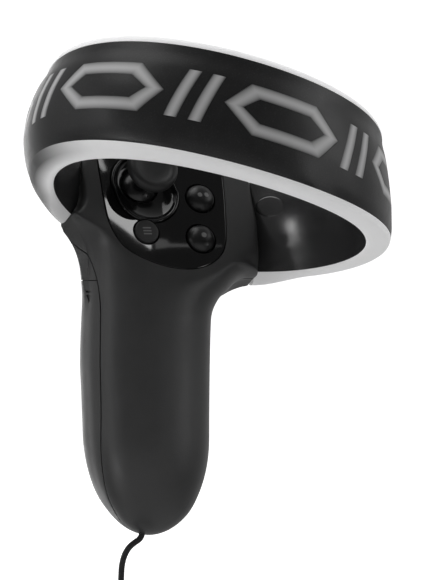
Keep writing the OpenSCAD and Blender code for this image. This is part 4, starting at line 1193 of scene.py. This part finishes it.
cut(rear_half, capsule("gslot", [(capsule_loop(4.2), 8.0), (capsule_loop(4.2), 30.0)]))
grip_button = capsule("grip_button_skin", [(capsule_loop(3.8), 12.4), (capsule_loop(3.8), 16.9), (capsule_loop(3.74), 17.3), (capsule_loop(3.5), 17.65), (capsule_loop(3.0), 17.88), (capsule_loop(2.2), 17.98), (capsule_loop(1.0), 18.0)], M_TRIG)

def round_edges(ob, width, segments, limit):
    """Rounds the edges that are sharper than the limit, in the mesh itself."""
    bev = ob.modifiers.new("round", "BEVEL")
    bev.width = width * MM
    bev.segments = segments
    bev.limit_method = "ANGLE"
    bev.angle_limit = math.radians(limit)
    bpy.context.view_layer.update()
    me = bpy.data.meshes.new_from_object(ob.evaluated_get(bpy.context.evaluated_depsgraph_get()))
    ob.modifiers.clear()
    old = ob.data
    ob.data = me
    bpy.data.meshes.remove(old)
    me.name = ob.name
    finish_mesh(me, 40)


bumper = bumper_mesh("bumper_skin", 46.6, 52.7, 0, M_TRIG)
round_edges(bumper, 0.5, 4, 40)

TRIG = [(4.2, 49.5), (7.4, 49.6), (10, 46.9), (13.6, 46.4), (16.6, 45.2), (19.4, 43), (21.6, 40.2), (23.2, 36.8), (24.2, 33.4), (23.9, 32.5), (22.9, 32.3),
        (20.8, 34.2), (18.2, 36), (14.8, 37.6), (11.2, 38.6), (9.4, 40.4), (6, 43.8), (3.6, 45)]
trig_loop = [(4.2, 49.5), (7.4, 49.6)] + [tuple(p) for p in spline([(10, 46.9), (13.6, 46.4), (16.6, 45.2), (19.4, 43), (21.6, 40.2), (23.2, 36.8), (24.1, 33.6)], 6)] + \
    [tuple(p) for p in spline([(24.15, 33.0), (23.8, 32.4), (22.9, 32.35)], 4)] + [tuple(p) for p in spline([(20.8, 34.2), (18.2, 36), (14.8, 37.6), (11.2, 38.6)], 6)] + [(9.4, 40.4), (6, 43.8), (3.6, 45), (3.0, 47)]
trigger = extrude_x("trigger_skin", trig_loop, TX - TW / 2, TX + TW / 2, M_TRIG)


def cyl_x(name, y, z, r, x0, x1, seg=64):
    pts = [(y + r * math.cos(2 * math.pi * i / seg), z + r * math.sin(2 * math.pi * i / seg)) for i in range(seg)]
    return extrude_x(name, pts, x0, x1)


round_edges(trigger, 1.1, 5, 50)
cut(trigger, cyl_x("tb", 5.8, 47, 1.56, -20, 20), angle=40)
cut(trigger, cyl_x("tm", 10.4, 42.6, 1.55, TX - TW / 2 - 2, TX - TW / 2 + 4), angle=40)

# ------------------------------------------------------------------ riding and materials of the frame's own nodes
B = {n: b for b, ns in frame["record"]["behaviour"]["bodies"].items() for n in ns}
PIECES = [
    (front_shell, "front_shell", "shell_soft"), (rear_half, "rear_shell", "shell_soft"), (cover, "battery_cover", "shell_soft"),
    (panel, "face_panel", "panel_gloss"), (dish, "stick_dish", "panel_gloss"), (stick_cap, "stick_cap", "stick_rubber"), (stick_boot, "stick_boot", "panel_gloss"),
    (button_lower, "button_lower", "button_gloss"), (button_upper, "button_upper", "button_gloss"), (menu_button, "menu_button", "menu_matte"),
    (ring_band, "ring_outer_band", "band_dark"), (ring_inlays, "ring_inlays", "light_guide"), (ring_low, "ring_lower_rim", "light_guide"),
    (ring_top, "ring_top_rim", "light_guide"), (ring_wall, "ring_inner_wall", "liner_black"), (ring_caps, "ring_screw_caps", "liner_black"),
    (trigger, "trigger", "trigger_black"), (bumper, "bumper", "trigger_black"), (grip_button, "grip_button", "trigger_black"),
]
for ob, node, slot in PIECES:
    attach(ob, B[node])
    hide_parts(node)

for ob, node, slot in ((tongue, "rear_shell", "shell_soft"), (mark_lower, "button_lower", "light_guide"), (mark_upper, "button_upper", "light_guide"), (mark_menu, "menu_button", "light_guide")):
    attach(ob, B[node])

NODE_MAT = {
    "stick_shaft": M_STEEL, "stick_pivot": M_INNER, "stick_yoke": M_INNER, "stick_base": M_INNER, "button_membrane": M_SILI, "main_board": M_BOARD,
    "board_screws": M_STEEL, "ring_light_strip": M_INNER, "ring_screws": M_STEEL, "trigger_pin": M_STEEL, "trigger_spring": M_STEEL, "trigger_magnet": M_LIP,
    "bumper_switch": M_INNER, "grip_switch": M_INNER, "battery_cells": M_CELL, "battery_contacts": M_STEEL, "battery_tray": M_INNER, "vibration_motor": M_STEEL,
    "strap_bar": M_STEEL, "strap_toggle": M_TRIG, "strap_tie": M_INNER,
}
for node, m in NODE_MAT.items():
    me = frame["nodes"][node].data
    me.materials.clear()
    me.materials.append(m)

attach(strap, B["strap_cord"])
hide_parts("strap_cord", "strap_hank")

# ------------------------------------------------------------------ stage and light
VIEW_R = np.array([0.91355, -0.40674, 0.0])


def sweep_stage():
    """A pale floor that curves up into a back wall on every side."""
    prof = [(0.0, 0.0), (1.6, 0.0)] + [(1.6 + 1.2 * math.sin(a), 1.2 - 1.2 * math.cos(a)) for a in np.linspace(0.1, math.pi / 2, 12)] + [(2.8, 3.5)]
    z0 = -0.135
    seg = 64
    v = []
    for r, h in prof:
        for i in range(seg):
            a = 2 * math.pi * i / seg
            v.append((r * math.cos(a), r * math.sin(a), z0 + h))
    me = bpy.data.meshes.new("stage_floor")
    me.from_pydata(v, [], grid_faces(len(prof), seg, wrap=True))
    for p in me.polygons:
        p.use_smooth = True
    ob = bpy.data.objects.new("stage_floor", me)
    scene.collection.objects.link(ob)
    m, nt, b = material("stage_white")
    b.inputs["Base Color"].default_value = (0.9, 0.9, 0.9, 1)
    b.inputs["Roughness"].default_value = 0.9
    b.inputs["Emission Color"].default_value = (1, 1, 1, 1)
    b.inputs["Emission Strength"].default_value = 0.96
    me.materials.append(m)
    ob.visible_diffuse = False
    ob.visible_glossy = False
    ob.visible_shadow = False
    return ob


sweep_stage()


def place(right, back, up):
    """A point given in metres to the right of, behind and above the object."""
    return TARGET * MM + VIEW_R * right + VIEW_D * back + np.array([0, 0, up])


def area(name, at_rbu, size, size_y, glow, aim=(0.0, 0.0, 0.0)):
    """A soft box of the given brightness, turned to the object."""
    d = bpy.data.lights.new(name, "AREA")
    d.shape = "RECTANGLE"
    d.size, d.size_y = size, size_y
    d.energy = glow * math.pi * size * size_y
    o = bpy.data.objects.new(name, d)
    scene.collection.objects.link(o)
    loc, tgt = Vector(place(*at_rbu)), Vector(place(*aim))
    o.location = loc
    o.rotation_euler = (tgt - loc).to_track_quat("-Z", "Y").to_euler()
    return o


area("soft_left", (-1.0, -0.05, 0.2), 0.5, 0.9, 0.55)
area("wall_streak", (-1.0, -0.44, 0.05), 0.13, 0.4, 4.5)
area("soft_upper_left", (-0.75, -0.55, 0.75), 0.5, 0.5, 2.2)
area("rim_left", (-0.5, 1.05, -0.1), 0.5, 1.0, 1.6)
area("soft_right", (1.05, -0.08, 0.42), 0.55, 0.8, 1.7)
area("streak_right", (1.0, -0.48, -0.08), 0.18, 0.5, 3.6)
area("soft_top", (-0.35, -0.15, 1.2), 1.0, 0.9, 1.9)
area("soft_low", (0.15, -1.05, -0.5), 1.6, 0.5, 0.5)
area("floor_bounce", (0.0, -0.25, -0.85), 1.6, 1.4, 0.42)
area("kick_left", (-0.88, -0.5, -0.52), 0.36, 0.24, 5.0)


def seen_in_panel(px, py, far):
    """Where a light must stand for its image in the gloss panel to be seen at a point of the picture."""
    eye = TARGET - 750.0 * VIEW_D
    ray = 750.0 * VIEW_D + VIEW_R * (px - 212.5) * 0.295 + np.array([0, 0, 1.0]) * (290 - py) * 0.295
    hit = eye + ray * float((F0 - eye) @ EN) / float(ray @ EN)
    out = ray - 2 * float(ray @ EN) * EN
    return hit + out / np.linalg.norm(out) * far


def light_card(name, corners, glow):
    """A flat glowing card that the camera doesn't see by itself."""
    me = bpy.data.meshes.new(name)
    me.from_pydata([tuple(np.array(c) * MM) for c in corners], [], [tuple(range(len(corners)))])
    ob = bpy.data.objects.new(name, me)
    scene.collection.objects.link(ob)
    m, nt, b = material(name)
    b.inputs["Base Color"].default_value = (0.8, 0.8, 0.8, 1)
    b.inputs["Emission Color"].default_value = (1, 1, 1, 1)
    b.inputs["Emission Strength"].default_value = glow
    me.materials.append(m)
    ob.visible_camera = False
    ob.visible_shadow = False
    return ob


light_card("strip_card", [seen_in_panel(x, y, 500) for x, y in ((60, 181), (151, 249.7), (153, 224), (126, 209.5), (112, 202.5), (100, 195), (60, 182))], 7.0)
light_card("corner_card", [seen_in_panel(x, y, 500) for x, y in ((94, 156), (101, 156), (106.5, 170.5), (103, 171), (94, 161))], 5.0)
light_card("tail_card", [seen_in_panel(x, y, 500) for x, y in ((154, 238), (166, 239.5), (170, 243.5), (222, 245.5), (222, 246.5), (170, 247), (156, 249))], 0.7)


def studio_world():
    """A room that is dim on the viewer's side and bright behind the object."""
    w = bpy.data.worlds.new("studio")
    w.use_nodes = True
    nt = w.node_tree
    tc = nt.nodes.new("ShaderNodeTexCoord")
    dot = nt.nodes.new("ShaderNodeVectorMath")
    dot.operation = "DOT_PRODUCT"
    dot.inputs[1].default_value = (0.39, 0.876, 0.284)
    nt.links.new(tc.outputs["Generated"], dot.inputs[0])
    mr = nt.nodes.new("ShaderNodeMapRange")
    mr.inputs["From Min"].default_value = -1
    mr.inputs["From Max"].default_value = 1
    nt.links.new(dot.outputs["Value"], mr.inputs["Value"])
    cr = ramp(nt, mr.outputs["Result"], [(0.0, (0.1,) * 3), (0.44, (0.11,) * 3), (0.62, (0.25,) * 3), (0.85, (0.52,) * 3), (1.0, (0.58,) * 3)])
    nt.links.new(cr.outputs["Color"], nt.nodes["Background"].inputs["Color"])
    nt.nodes["Background"].inputs["Strength"].default_value = 1.0
    return w


scene.world = studio_world()
scene.view_settings.view_transform = "Standard"
